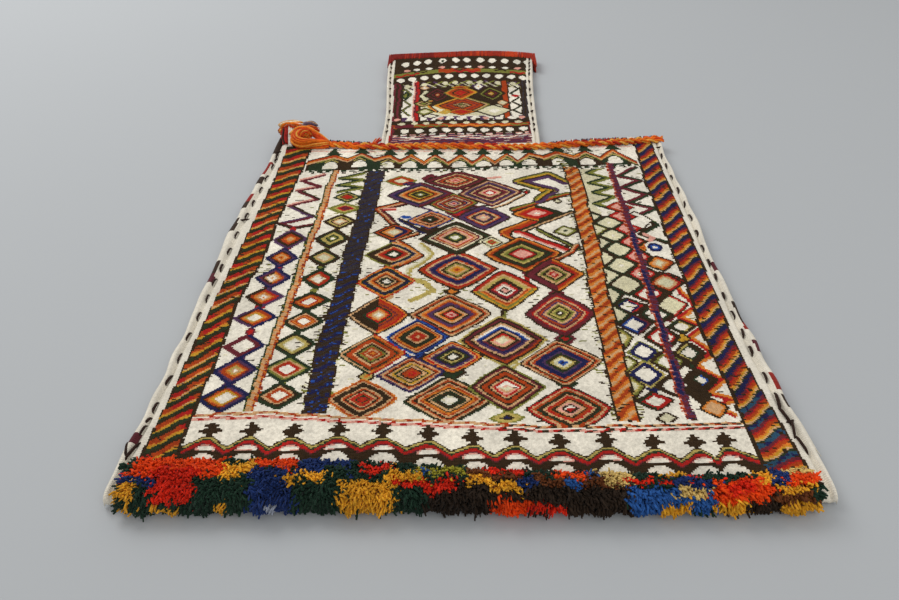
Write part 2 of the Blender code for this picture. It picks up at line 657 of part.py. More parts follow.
def woven_bag(parent):
    """Back, front and neck: one cloth folded at the foot, open at the mouth, its face brocaded in relief."""
    outline, rings = edge_rings()
    brocade = Brocade([(x, y) for x, y, _ in rings[0]])
    body_motifs(brocade)
    foot_border(brocade)
    shoulder_border(brocade)
    neck_motifs(brocade)
    vertices, faces, yarns, rim = brocade.meshed()
    count = len(outline)
    loops = [[rim[i] for i in range(count)]]
    for ring in rings[1:]:
        loops.append(list(range(len(vertices), len(vertices) + count)))
        vertices += ring
    for upper, lower in zip(loops, loops[1:]):
        for i in range(count):
            j = (i + 1) % count
            faces.append([upper[i], lower[i], lower[j], upper[j]])
            yarns.append("I")
    under = [Vector(p[:2]) for p in rings[-1]]
    lines = lift_lines(outline)
    found = delaunay_2d_cdt(under, lines, [list(range(count))], 1, 0.001)
    for triangle in found[2]:
        faces.append([loops[-1][found[3][i][0]] for i in triangle])
        yarns.append("I")
    made = solid("woven_bag", vertices, faces, yarns, parent)
    pocket = made.modifiers.new("pocket", "BOOLEAN")
    pocket.operation = "DIFFERENCE"
    pocket.object = pocket_cutter(parent)
    return made


def lift_lines(outline):
    """Lines across the back of the neck where it starts and ends its lift, as pairs of outline points."""
    mouth = [i for i, (kind, _, _) in enumerate(outline) if kind == "mouth"]
    first, last = mouth[0], mouth[-1] + 1
    return [(first - k, last + k) for k in (1, 2)]


def pocket_cutter(parent):
    """The room between the walls: inside the sewn sides and the foot fold, and out through the mouth."""
    outline = bag_outline(0.4)
    reach = {
        "foot": FOOT_STRIP + FOOT_FOLD,
        "shoulder": SHOULDER_STRIP,
        "mouth": -2 * BINDING_WIDTH,
        "neck": NECK_STRIP,
    }
    distances = [
        (reach[kind] if kind in reach else strip_width(kind, plan_y)) + POCKET_MARGIN
        for kind, _, plan_y in outline
    ]
    loop = inset([point for _, point, _ in outline], distances)
    low, high = BACK_WALL, BACK_WALL + POCKET_HEIGHT
    vertices = [(x, y, z) for z in (low, high) for x, y in loop]
    count = len(loop)
    faces = [list(range(count))[::-1], list(range(count, 2 * count))]
    faces += [[i, (i + 1) % count, count + (i + 1) % count, count + i] for i in range(count)]
    cutter = solid("pocket_cutter", vertices, faces, "I" * len(faces), parent, smooth=False)
    cutter.hide_render = True
    cutter.display_type = "WIRE"
    return cutter


def skinned(rings, closed=False):
    """Faces over rings of equal count, in order, with flat ends unless the last ring joins the first."""
    count, total = len(rings[0]), len(rings)
    vertices = [p for ring in rings for p in ring]
    faces = []
    for r in range(total if closed else total - 1):
        here, there = r * count, (r + 1) % total * count
        for i in range(count):
            j = (i + 1) % count
            faces.append([here + i, here + j, there + j, there + i])
    if not closed:
        faces += [list(range(count))[::-1], list(range((total - 1) * count, total * count))]
    return vertices, faces


def along(points, spacing):
    """Points at equal spacing along a polyline, ends included."""
    lengths = [0.0]
    for a, b in zip(points, points[1:]):
        lengths.append(lengths[-1] + math.dist(a, b))
    count = max(2, round(lengths[-1] / spacing))
    placed = []
    for k in range(count + 1):
        target = lengths[-1] * k / count
        i = next((n for n in range(len(points) - 2) if lengths[n + 1] > target), len(points) - 2)
        t = (target - lengths[i]) / (lengths[i + 1] - lengths[i])
        placed.append(tuple(a + (b - a) * t for a, b in zip(points[i], points[i + 1])))
    return placed


def tube(points, radii, sides):
    """Rings round a path, each square to it and level at its sides."""
    rings = []
    for i, point in enumerate(points):
        ahead = Vector(points[min(i + 1, len(points) - 1)]) - Vector(points[max(i - 1, 0)])
        side = ahead.cross(Vector((0, 0, 1))).normalized()
        up = side.cross(ahead).normalized()
        ring = []
        for k in range(sides):
            angle = math.tau * k / sides
            radius = radii(i, k)
            ring.append(tuple(Vector(point) + radius * (math.cos(angle) * side + math.sin(angle) * up)))
        rings.append(ring)
    return rings


def seam_yarn(name, kind, side, parent):
    """Yarn that sews one side: it lies in the groove and rises over it once in each stitch."""
    outline = bag_outline()
    depths = [strip_width(edge, y) * GROOVE_MIDDLE for edge, _, y in outline]
    middle = inset([point for _, point, _ in outline], depths)
    chosen = [
        place
        for place, cut, (edge, (x, _), _) in zip(middle, grooved(outline), outline)
        if cut and edge == kind and x * side > 0
    ]
    chosen.sort(key=lambda place: place[1])
    path = []
    for i, (x, y) in enumerate(along(chosen, STITCH_LENGTH / 3)):
        rise = STITCH_RISE if i % 3 else 0.0
        path.append((x, y, ground(x, y) - GROOVE_DEPTH + CLEARANCE + YARN_RADIUS + rise))
    thin = YARN_RADIUS * (0.8 if kind == "neck" else 1.0)
    vertices, faces = skinned(tube(path, lambda i, k: thin, 4))
    return solid(name, vertices, faces, "K" * len(faces), parent)


def shoulder_cord(parent):
    """A flat plait on the edge of the face, from shoulder to shoulder and over the foot of the neck."""
    section = [(-1.0, 0.0), (-0.92, 0.42), (-0.5, 0.85), (0.0, 1.0), (0.5, 0.85), (0.92, 0.42), (1.0, 0.0)]
    ends = steps(-161, 246, 60) + [246]
    route = along([on_shoulder(x, CORD_LINE(x)) for x in ends], CORD_PLAIT / 2)
    rings = []
    for i, (x, y) in enumerate(route):
        before, after = route[max(i - 1, 0)], route[min(i + 1, len(route) - 1)]
        dx, dy = after[0] - before[0], after[1] - before[1]
        length = math.hypot(dx, dy)
        dx, dy = dx / length, dy / length
        swell = 1.0 if i % 2 else 0.84
        inner = 0 < i < len(route) - 1
        ring = []
        for across, up in section:
            out = across * CORD_WIDTH / 2 * (0.9 + 0.1 * swell)
            shift = CORD_PLAIT * 0.4 * (1 - abs(across)) if inner else 0.0
            px, py = x + dx * shift - dy * out, y + dy * shift + dx * out
            ring.append((px, py, ground(px, py) + RELIEF + up * CORD_HEIGHT * swell))
        rings.append(ring)
    vertices, faces = skinned(rings)
    count = len(section)
    yarns = [CORD_YARNS[(n // count + (n % count > 2)) % len(CORD_YARNS)] for n in range(len(faces))]
    return solid("shoulder_braid", vertices, faces, yarns, parent)


def overcast(name, shoulder, low, high, parent):
    """Stitches over the shoulder edge behind the cord, as one row of turns."""
    away = OVERCAST_RADIUS + CLEARANCE
    edge = [on_shoulder(x, shoulder(x)) for x in steps(low, high, 12) + [high]]
    route = along(edge, OVERCAST_STITCH / 2)
    path = [(x, y + away, ground(x, y) - 4.5) for x, y in route]
    swell = lambda i, k: OVERCAST_RADIUS * (1.0 if i % 2 else 0.7)
    vertices, faces = skinned(tube(path, swell, 5))
    yarns = [OVERCAST_YARNS[n // 10 % len(OVERCAST_YARNS)] for n in range(len(faces))]
    return solid(name, vertices, faces, yarns, parent)


def pile_band(parent):
    """Knotted pile along the foot: it stands on the face, hangs over the fold and reaches the ground."""
    first, last = -251.5, 243.0
    crest = [(0.0, 0.35), (0.04, 0.72), (0.16, 0.95), (0.36, 1.0), (0.58, 0.96), (0.78, 0.8)]
    count = round(on_body(last - first, 0)[0] / PILE_LOCK)
    rings = []
    colours = []
    for i in range(count + 1):
        plan_x = first + (last - first) * i / count
        x, heel = on_body(plan_x, PILE_EDGE(plan_x))
        fold = on_body(0, FOOT_EDGE(plan_x))[1]
        face = ground(x, fold)
        front = fold - PILE_REACH
        top = face + PILE_HEIGHT * (1 - 0.45 * (i in (0, count)))
        lock = 1.0 if i % 2 else 0.88
        lock += 0.06 * math.sin(i * 2.4) + 0.05 * math.sin(i * 0.9 + 1)
        inside = fold - 1.6 * CLEARANCE
        ring = [(x, inside, 0.0), (x, inside, face - 1.2), (x, fold + 0.8, face + 0.6)]
        ring.append((x, heel, face + 0.6))
        for share, height in crest:
            y = heel + (front - heel) * share
            ring.append((x, y, face + 0.6 + (top - face - 0.6) * height * lock))
        reach = PILE_REACH * (lock - 0.94)
        for height, bulge in ((1.15, 0), (0.6, 0.8), (0.22, 0)):
            ring.append((x, front - reach - bulge, face * height))
        ring.append((x, front - reach + 2.5, 0.0))
        rings.append([(px + (0.8 * math.sin(i * 1.7 + n) if n > 4 else 0.0), py, pz)
                      for n, (px, py, pz) in enumerate(ring)])
        patches = (PILE_CREST, PILE_FRONT)
        colours.append([next(yarn for stop, yarn in row if plan_x < stop) for row in patches])
    vertices, faces = skinned(rings)
    sides = len(rings[0])
    yarns = []
    for n in range(len(faces)):
        row, place = min(n // sides, count - 1), n % sides
        yarns.append(colours[row][0 if 3 <= place <= 7 else 1])
    return solid("pile_band", vertices, faces, yarns, parent)


def mouth_binding(parent):
    """Overcast wool round the neck's end: a flat ring over both walls, turned in over their cut edges."""
    outline, rings = edge_rings()
    start = next(i for i, (kind, _, _) in enumerate(outline) if kind == "mouth")
    stop = max(i for i, (kind, _, _) in enumerate(outline) if kind == "mouth") + 1
    level = BACK_WALL + POCKET_HEIGHT + FRONT_WALL
    across = [x for _, (x, _), _ in outline[start + 1 : stop]]
    right, left = outline[start][1][0], outline[stop][1][0]
    inner = NECK_STRIP * 0.34
    face_x = [left + inner] + across[::-1] + [right - inner]
    back_x = [right - 3.6] + across + [left + 3.6]
    rim = [(0.6, level - 1.0), (0.0, level - 4.2), (0.0, MOUTH_LIFT + 3.4), (1.2, MOUTH_LIFT + 0.5)]
    section = [(x, level + 0.3) for x in face_x] + [(right - d, z) for d, z in rim]
    section += [(x, MOUTH_LIFT) for x in back_x] + [(left + d, z) for d, z in reversed(rim)]
    section = section[::-1]
    count = len(section)
    near_loop = inset(section, [-CLEARANCE] * count)
    outer = inset(section, [-BINDING_THICKNESS] * count)
    lip = inset(section, [BINDING_LIP] * count)

    def place(loop, back):
        return [(x, mouth_at(x) + back, max(z, 0.0)) for x, z in loop]

    end = BINDING_THICKNESS
    loops = [place(near_loop, -BINDING_WIDTH), place(outer, -BINDING_WIDTH + 0.6), place(outer, end - 0.5)]
    loops += [place(near_loop, end + 0.3), place(lip, end), place(lip, CLEARANCE), place(near_loop, CLEARANCE)]
    rings = [list(ring) for ring in zip(*loops)]
    vertices, faces = skinned(rings, closed=True)
    return solid("mouth_binding", vertices, faces, "R" * len(faces), parent)


def corner_tassel(parent):
    """A loose hank that leaves the cord's end, swells and curls round on the shoulder's corner."""
    centres = []
    for x, y, lift in TASSEL_PATH:
        centres.append((*on_shoulder(x, y), lift))
    smooth_path = along(centres, 6.0)
    total = len(smooth_path) - 1

    def swell(i):
        share = i / total
        return TASSEL_RADIUS * (0.55 + 0.45 * math.sin(math.pi * min(share * 1.35, 1.0)) - 0.3 * share)

    path = []
    for i, (x, y, lift) in enumerate(smooth_path):
        path.append((x, y, ground(x, y) + CLEARANCE + swell(i) * 1.12 + lift))
    strand = lambda i, k: swell(i) * (1.12 if (k + i // 2) % 2 else 0.9)
    vertices, faces = skinned(tube(path, strand, 12))
    yarns = ["AOYOAO"[(n // 12 + n) % 6] for n in range(len(faces))]
    return solid("corner_tassel", vertices, faces, yarns, parent)


def main():
    for left_over in list(bpy.data.objects):
        bpy.data.objects.remove(left_over, do_unlink=True)
    bag = bpy.data.objects.new("salt_bag", None)
    bpy.context.scene.collection.objects.link(bag)
    pieces = [
        woven_bag(bag),
        pile_band(bag),
        seam_yarn("side_seam_left", "left", -1, bag),
        seam_yarn("side_seam_right", "right", 1, bag),
        seam_yarn("neck_seam_left", "neck", -1, bag),
        seam_yarn("neck_seam_right", "neck", 1, bag),
        shoulder_cord(bag),
        overcast("shoulder_overcast_left", LEFT_SHOULDER, *OVERCAST_LEFT, bag),
        overcast("shoulder_overcast_right", RIGHT_SHOULDER, *OVERCAST_RIGHT, bag),
        mouth_binding(bag),
        corner_tassel(bag),
    ]
    corners = [vertex.co for piece in pieces for vertex in piece.data.vertices]
    for axis in (0, 1):
        values = [corner[axis] for corner in corners]
        bag.location[axis] = -(min(values) + max(values)) / 2


main()
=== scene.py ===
# A salt bag of brocaded wool, laid on its back: one cloth folded at its foot and sewn up the sides,
# with a wide pouch, a narrow neck, a foot of knotted pile, a plaited shoulder cord, a tassel and a
# bound mouth.
import bmesh
import bpy
import math
import numpy as np
from mathutils import Matrix, Vector


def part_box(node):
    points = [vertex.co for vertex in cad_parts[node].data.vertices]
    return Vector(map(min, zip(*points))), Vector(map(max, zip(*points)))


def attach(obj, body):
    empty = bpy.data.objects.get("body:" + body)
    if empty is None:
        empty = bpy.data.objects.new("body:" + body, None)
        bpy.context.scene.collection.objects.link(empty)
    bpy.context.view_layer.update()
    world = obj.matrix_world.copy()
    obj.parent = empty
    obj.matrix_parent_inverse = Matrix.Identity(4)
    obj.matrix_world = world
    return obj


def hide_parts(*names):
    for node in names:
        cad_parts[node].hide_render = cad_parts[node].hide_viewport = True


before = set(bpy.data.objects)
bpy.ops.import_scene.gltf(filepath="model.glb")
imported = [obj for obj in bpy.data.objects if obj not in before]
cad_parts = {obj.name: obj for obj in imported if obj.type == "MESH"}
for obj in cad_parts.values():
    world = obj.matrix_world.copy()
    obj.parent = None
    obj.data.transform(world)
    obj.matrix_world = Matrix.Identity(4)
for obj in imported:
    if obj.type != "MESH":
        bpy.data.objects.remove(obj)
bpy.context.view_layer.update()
rng = np.random.default_rng(26)

# Every length below is in millimetres, in the cloth's own plan: x across the bag, y from its foot
# to its mouth. The plan's lowest corner lies on the CAD cloth's lowest corner.
PLAN_LOW = (-255.0, -374.0)
cloth_low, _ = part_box("woven_bag")
PLAN_TO_FRAME = np.array([cloth_low.x * 1000 - PLAN_LOW[0], cloth_low.y * 1000 - PLAN_LOW[1], 0.0])

# One stitch of the brocade. Real rows are finer: these are as coarse as they need to be to show.
STITCH_WIDE, STITCH_HIGH = 1.6, 1.2

# Yarns, as sRGB: the letters are used by every motif below
YARNS = {
    "I": ("ivory", "#E7DFCD"), "E": ("cream", "#DDD6B4"), "C": ("straw", "#BDAA5E"),
    "K": ("dark_brown", "#3A2916"), "G": ("dark_green", "#2B3922"), "N": ("navy", "#22234F"),
    "B": ("blue", "#2A52A0"), "P": ("purple", "#57395A"), "U": ("burgundy", "#702830"),
    "R": ("madder_red", "#B5221C"), "A": ("brick", "#B04416"), "O": ("orange", "#D8822E"),
    "Y": ("gold", "#C99A2E"), "L": ("olive", "#84843A"), "T": ("tan", "#D3A878"),
    "S": ("pink", "#E2A795"), "D": ("dusky_brown", "#3B3437"), "Q": ("teal", "#2C5068"),
}
LETTERS = "".join(YARNS)


def curve(points):
    """A smooth function through points whose positions rise, for numbers or arrays."""
    xs, ys = (np.array(axis, float) for axis in zip(*points))
    slopes = np.gradient(ys, xs)

    def value(t):
        t = np.clip(np.asarray(t, float), xs[0], xs[-1])
        i = np.clip(np.searchsorted(xs, t, side="right") - 1, 0, len(xs) - 2)
        h = xs[i + 1] - xs[i]
        s = (t - xs[i]) / h
        keep, slide = s * s * (3 - 2 * s), s * (1 - s)
        bend = h * slide * (slopes[i] * (1 - s) - slopes[i + 1] * s)
        return ys[i] * (1 - keep) + ys[i + 1] * keep + bend

    return value


def polyline(points):
    """Straight lines through points whose positions rise, for numbers or arrays."""
    xs, ys = zip(*points)
    return lambda t: np.interp(t, xs, ys)


def between(value, low, high):
    return (value > low) & (value < high)


def near(value, start, stop):
    """0 before start, 1 after stop, and smooth between them."""
    t = np.clip((np.asarray(value, float) - start) / (stop - start), 0, 1)
    return t * t * (3 - 2 * t)


def scatter(seed):
    """A number from -1 to 1 for each seed: without order, and the same on every run."""
    return np.modf(np.sin(seed) * 43758.5453)[0]


def chance(row, place, row_seed, place_seed):
    """A number from 0 to 1 for each stitch of a row."""
    return np.abs(scatter(row * row_seed + place * place_seed))


# ---- Outlines of the cloth and lines of its weave, read off at the height of the bag's face ----

# Lines up the bag give x by y
LEFT_EDGE = curve([(-375, -255), (-270, -246), (-170, -240), (-50, -236), (60, -223), (140, -213)])
LEFT_BAND = curve([(-375, -241), (-290, -232), (-200, -226), (-110, -218), (0, -209), (140, -199)])
LEFT_BARBER = curve([
    (-330, -208), (-250, -203), (-170, -199), (-110, -190), (0, -182), (60, -175), (110, -171),
])
RIGHT_EDGE = curve([(-380, 248), (-250, 243), (-150, 241), (-50, 246), (60, 247), (120, 251)])
RIGHT_BAND = curve([(-380, 236), (-340, 232), (-250, 224), (-160, 227), (-50, 231), (120, 237)])
RIGHT_BARBER = curve([(-340, 202), (-250, 199), (-100, 204), (0, 207), (60, 211), (110, 213)])
LEFT_STRIPE = curve([(-290, -166), (-240, -162), (-150, -153.5), (-60, -146.5), (52, -137)])
RIGHT_STRIPE = curve([(-310, 164), (-200, 167.5), (-110, 171), (0, 174.5), (52, 176.5)])
NAVY_BAND = curve([(-294, -126), (-230, -122), (-150, -116), (-50, -108), (50, -100)])
ORANGE_BAND = curve([(-310, 110), (-200, 113), (-100, 118.5), (0, 121.5), (50, 121)])
LEFT_NECK = curve([(97, -91), (180, -88), (300, -92), (376, -93)])
RIGHT_NECK = curve([(97, 104), (180, 108), (300, 117), (370, 125)])
CREAM_EDGE = polyline([
    (-45, 150), (-28, 146), (-16, 168), (-7, 147), (3, 169), (12, 146), (22, 168), (33, 146),
    (50, 170),
])
# Lines across the bag give y by x
SHOULDER = curve([
    (-213, 137), (-190, 127), (-165, 121), (-90, 110), (0, 103), (104, 97), (140, 102), (180, 105),
    (251, 108),
])
FOOT = curve([(-255, -361), (-50, -366), (100, -372), (248, -374)])
MOUTH = curve([(-93, 374), (-20, 377), (50, 378), (95, 372), (125, 364)])
PILE_EDGE = curve([(-255, -328), (-130, -333), (0, -340), (90, -345), (165, -350), (248, -344)])
CORD_LINE = [(-165, 113), (-100, 101), (0, 97), (95, 89), (140, 93), (180, 96), (250, 101)]
FOOT_SEAM = polyline([(-208, -293), (-150, -293), (-100, -298), (0, -307), (60, -313), (200, -314)])
SHOULDER_LINE = polyline([(-172, 96), (0, 88), (200, 90)])
SHOULDER_LOW = polyline([(-172, 52), (-80, 49), (60, 45), (200, 46)])

# Lozenges of the brocade: middle, half width, half height, and the yarns of their rings from the
# rim inwards. Two halves may differ: "left|right" or "top/bottom".
FIELD = [
    # First come the links between lozenges, which show only where nothing covers them
    (-78, -258, 8, 7, "KCO"), (-41, -237, 10, 7, "NBOO"), (-10, -258, 12, 8, "KGGR"),
    (85, -223, 9, 9, "UGR"), (79, -271, 9, 6, "GG"), (36, -249, 9, 7, "CEE"),
    (-8, -160, 8, 6, "KO"), (-68, -167, 8, 6, "TO"), (85, -167, 8, 8, "UR"),
    (-66, -124, 8, 5, "KA"), (-3, -105, 9, 5, "KK"), (-1, -38, 12, 12, "URP"),
    (-30, -66, 12, 8, "KKU"), (-62, 26, 19, 11, "LAAEE"), (-52, 20, 9, 4, "NU"),
    (-28, 30, 12, 10, "UUK"), (12, 8, 10, 8, "KUT"), (-20, -12, 12, 9, "UUN"),
    (17, -33, 12, 7, "UKP"), (107, -22, 6, 5, "KE"), (75, -5, 5, 4, "KR"), (93, -1, 6, 5, "KYY"),
    (82, -43, 29, 15, "KOARRSSI|KGKRRSSI"), (39, -160, 32, 28, "KRATCCKKRSIKS/KYLOATKURIKSS"),
    (-10, -190, 37, 28, "KTAKTOAPPKTOKRSR"), (-73, -190, 28, 24, "KTKKKKGROTEI|KORAAUAGROTEI"),
    (33, -223, 38, 30, "CKUKTIBNTKRTEE/CKAUKTPNUKTSEE"),
    (-40, -217, 28, 23, "IBNTAOKGKTARAT|NBNTAOKGKTARAT"), (85, -193, 32, 29, "KUURTUAPTLKCLKI"),
    (-76, -234.5, 28, 22, "GTGAATKLATAO|ROAGAATKLATAO"), (-10, -241, 26, 19, "KORTPNKGCKGII"),
    (78, -249, 34, 25, "KTAKTANNNPGKCEEBN"), (-43, -257, 28, 19, "NPTAKTYGTKAARA"),
    (-13, -285, 35, 24, "GKTAKTAOKTGKGIII"), (31, -274, 30, 25, "LKUTKAAKTRIISE/LKUTKAAKTRSTEE"),
    (77, -296, 34, 24, "KRTAGKTRAKTSKII/KRTAGKTRAKTSKRR"), (-80, -281, 29, 21, "OATKKKTAKTRAGRA"),
    (29, -303, 14, 7, "LCCKN"), (-3, -130, 39, 29, "KARTPNNATKLTYOA"),
    (-69, -146, 28, 23, "ROGNKTOAKTGKII"), (-65, -105, 27, 21, "LKKKTARKGII|OTNGTARKGII"),
    (61, -109, 38, 28, "KOAKGKCLKRSSS"), (87, -141, 29, 25, "KUUUKTLKTRS|KOARKTLKTRS"),
    (-3, -82, 38, 27, "KKGKEUTASTKGLII"), (-65, -68, 21, 15, "KAKOTEE|KANNTEE"),
    (-28, -50, 25, 17, "KBOTAKTAGKGKI"), (26, -49, 28, 22, "KPPNATKPTSE"),
    (-4, -22, 26, 20, "KLAUTNAKTPSR"), (-40, -2, 37, 25, "KPPNKTOAKYGKLI|KUUPKTOAKYGKLI"),
    (36, -4, 36, 26, "KUTPPKTUUKTSRII"), (0, 24, 37, 21, "KUUKTUAKTASR"),
    (107, -75, 14, 10, "KLEEG"), (33, -90, 13, 10, "EKECRL"),
]
LEFT_PANEL = [
    (-187, -277, 20.3, 15, "NNKAOYIII|NNPAYIIII"), (-185, -249, 19.3, 15, "NNPAAOCTI|NNPUAOCTI"),
    (-184, -222, 18.2, 13.9, "UUUIIII|NNUUIIII"), (-181, -188, 19.3, 13.9, "PPKAOCIII|NNAAOYIII"),
    (-178, -161, 18.2, 13.9, "KKAOTIO|PPRAOTI"), (-175, -135, 17.1, 15, "NNPUKTIIT|NNPAOTII"),
    (-172, -106, 17.1, 15, "NNPKAOTOA"), (-169, -77, 18.2, 16.1, "PPKKAAOTT"),
    (-186.5, -263, 5, 5, "PR"), (-184.5, -236, 5, 7, "PR"), (-182, -206, 5, 8, "UR"),
    (-180, -175, 5, 6, "RP"), (-177, -148, 5, 6, "UR"), (-172, -120, 5, 6, "PR"),
    (-170, -92, 5, 6, "UR"), (-168, -61, 4, 6, "R"), (-146, -277, 19.3, 13.9, "GGKTAAIII"),
    (-143, -250, 20.3, 15, "GGLTARIII"), (-141, -223, 20.3, 15, "GGKCCEIIII"),
    (-138, -195, 19.3, 13.9, "GGKTAOAIII"), (-137, -169, 19.3, 13.9, "GGKAORIII"),
    (-132.5, -138, 17.1, 15, "GGKATIII|GGRAEII"), (-130.5, -107, 17.1, 13.9, "KKGCTEEE"),
    (-132, -108, 9, 4, "RRS"), (-126.5, -77, 18.2, 17.1, "KKGCCGLI"),
    (-122.5, -48, 18.2, 13.9, "KKCKTEI"), (-120, -24, 19.3, 10.7, "LLCRUU"),
    (-118, -3, 16.1, 10.7, "GGCGARR"), (-144, -263, 4, 5, "L"), (-142, -236, 4, 5, "C"),
    (-140, -209, 4, 6, "G"), (-138, -182, 4, 6, "G"), (-135, -153, 4, 6, "L"),
    (-131, -121, 5, 6, "GL"), (-128, -92, 4, 5, "L"), (-125, -62, 4, 4, "C"),
    (-121, -35, 4, 4, "E"),
]
RIGHT_PANEL = [
    (153, -64, 16.1, 12.8, "KGEEEEI"), (153, -85, 15, 11.8, "KGEEEEI"),
    (153, -107, 16.1, 13.9, "KGEEEEE"), (151, -131, 16.1, 15, "KGEEEEI"),
    (150, -157, 17.1, 16.1, "GKEEEEE"), (135, -52, 16.1, 12.8, "KGEEEE"),
    (135, -74, 16.1, 13.9, "KLEEEEE"), (135, -96, 16.1, 12.8, "KGEEEE"),
    (134, -119, 16.1, 15, "GKEEEEE"), (133, -144, 17.1, 16.1, "KGEEEEE"),
    (133, -171, 13.9, 15, "KGEEEE"), (133, -196, 12.8, 13.9, "KGEEE"),
    (130, -224, 11.8, 13.9, "KLCEEE"), (129, -253, 10.7, 10.7, "KLEEE"),
    (128, -277, 11.8, 12.8, "KLCEEE"), (169, -36, 15, 10.7, "KRASSSS"),
    (169, -53, 15, 11.8, "KRRSSSS"), (169, -74, 16.1, 12.8, "KRRSSSS"),
    (169, -96, 16.1, 12.8, "KKRSSSI"), (169, -119, 16.1, 15, "KKRSSSI"),
    (168, -144, 16.1, 15, "KKRSSII"), (167, -171, 16.1, 15, "KKRIIII"),
    (166, -198, 16.1, 13.9, "KGIII"), (165, -225, 16.1, 16.1, "KKRIIII"),
    (163, -252, 16.1, 13.9, "KKLIIII"), (162, -277, 16.1, 12.8, "KKIII"),
    (147, -186, 16.1, 11.8, "KGNIIII|KKRNIII"), (146, -209, 15, 13.9, "KNBIIII|KUNNIII"),
    (145, -241, 13.9, 12.8, "LNNIIII"), (143, -265, 15, 13.9, "CNNIIII|CNNIIII"),
    (143, -291, 15, 9.6, "KGRIII|KRRIII"), (147, -307, 9, 6, "KEE"), (145, -253, 7, 4, "CC"),
    (145, -279, 5, 6, "NN"), (182, -61, 16.1, 18.2, "KIIIIII"),
    (188, -130, 15, 12.8, "KOTEE|KAOTE"), (186, -158, 16.1, 13.9, "KATEEE|KRTEEE"),
    (183, -187, 15, 15, "KKEEEEE|KREEEEE"), (185, -213, 13.9, 9.6, "KGKIII|KKCIII"),
    (183, -243, 13.9, 13.9, "KKCGIII|KKKGIII"), (182, -271, 13.9, 12.8, "KKKKGII|KKKKBII"),
    (185, -299, 11.8, 10.7, "KOTTT"), (182, -227, 7, 8, "KYY"), (184, -146, 5, 5, "KU"),
    (180, -257, 5, 6, "KG"), (178, -286, 8.6, 9.6, "KK"), (184, -172, 4, 5, "KK"),
    (177, -200, 7, 8, "UKK"), (178, -101, 8.6, 11.8, "KOAOO"),
]
NECK = [
    (53, 190, 26, 17, "KEEEII"), (-36, 190, 13, 12, "KLEE"), (-29, 178, 12, 7, "KIE"),
    (-38, 214, 14, 11, "KLTKLL"), (-36, 238, 10, 22, "KEEEI"), (66, 212, 9, 10, "KTEE"),
    (-20, 240, 20, 24, "KKUKKUKAT"), (54, 239, 20, 24, "KKLKKUKYT"),
    (13, 207, 37, 27, "YOKAAUAAKTLK|LTKAAUAAKTLK"), (11, 188, 20, 10, "KOAARRA"),
    (-10, 188, 9, 7, "YCY"), (11, 209, 13, 6, "KTGL"), (12, 245, 23, 22, "LOAAKARRA|YOAAKARRA"),
    (12, 262, 18, 6, "KYAAK"), (-38, 262, 10, 10, "KTI"), (38, 262, 8, 12, "PIIT"),
    (86, 232, 6, 4, "R"), (-63, 238, 5, 16, "GL"),
]
# The white eye in the right panel: radius and yarn of its discs
EYE_X, EYE_Y = 190, -105
EYE = [(9, "I"), (7, "N"), (4, "B"), (2, "I")]
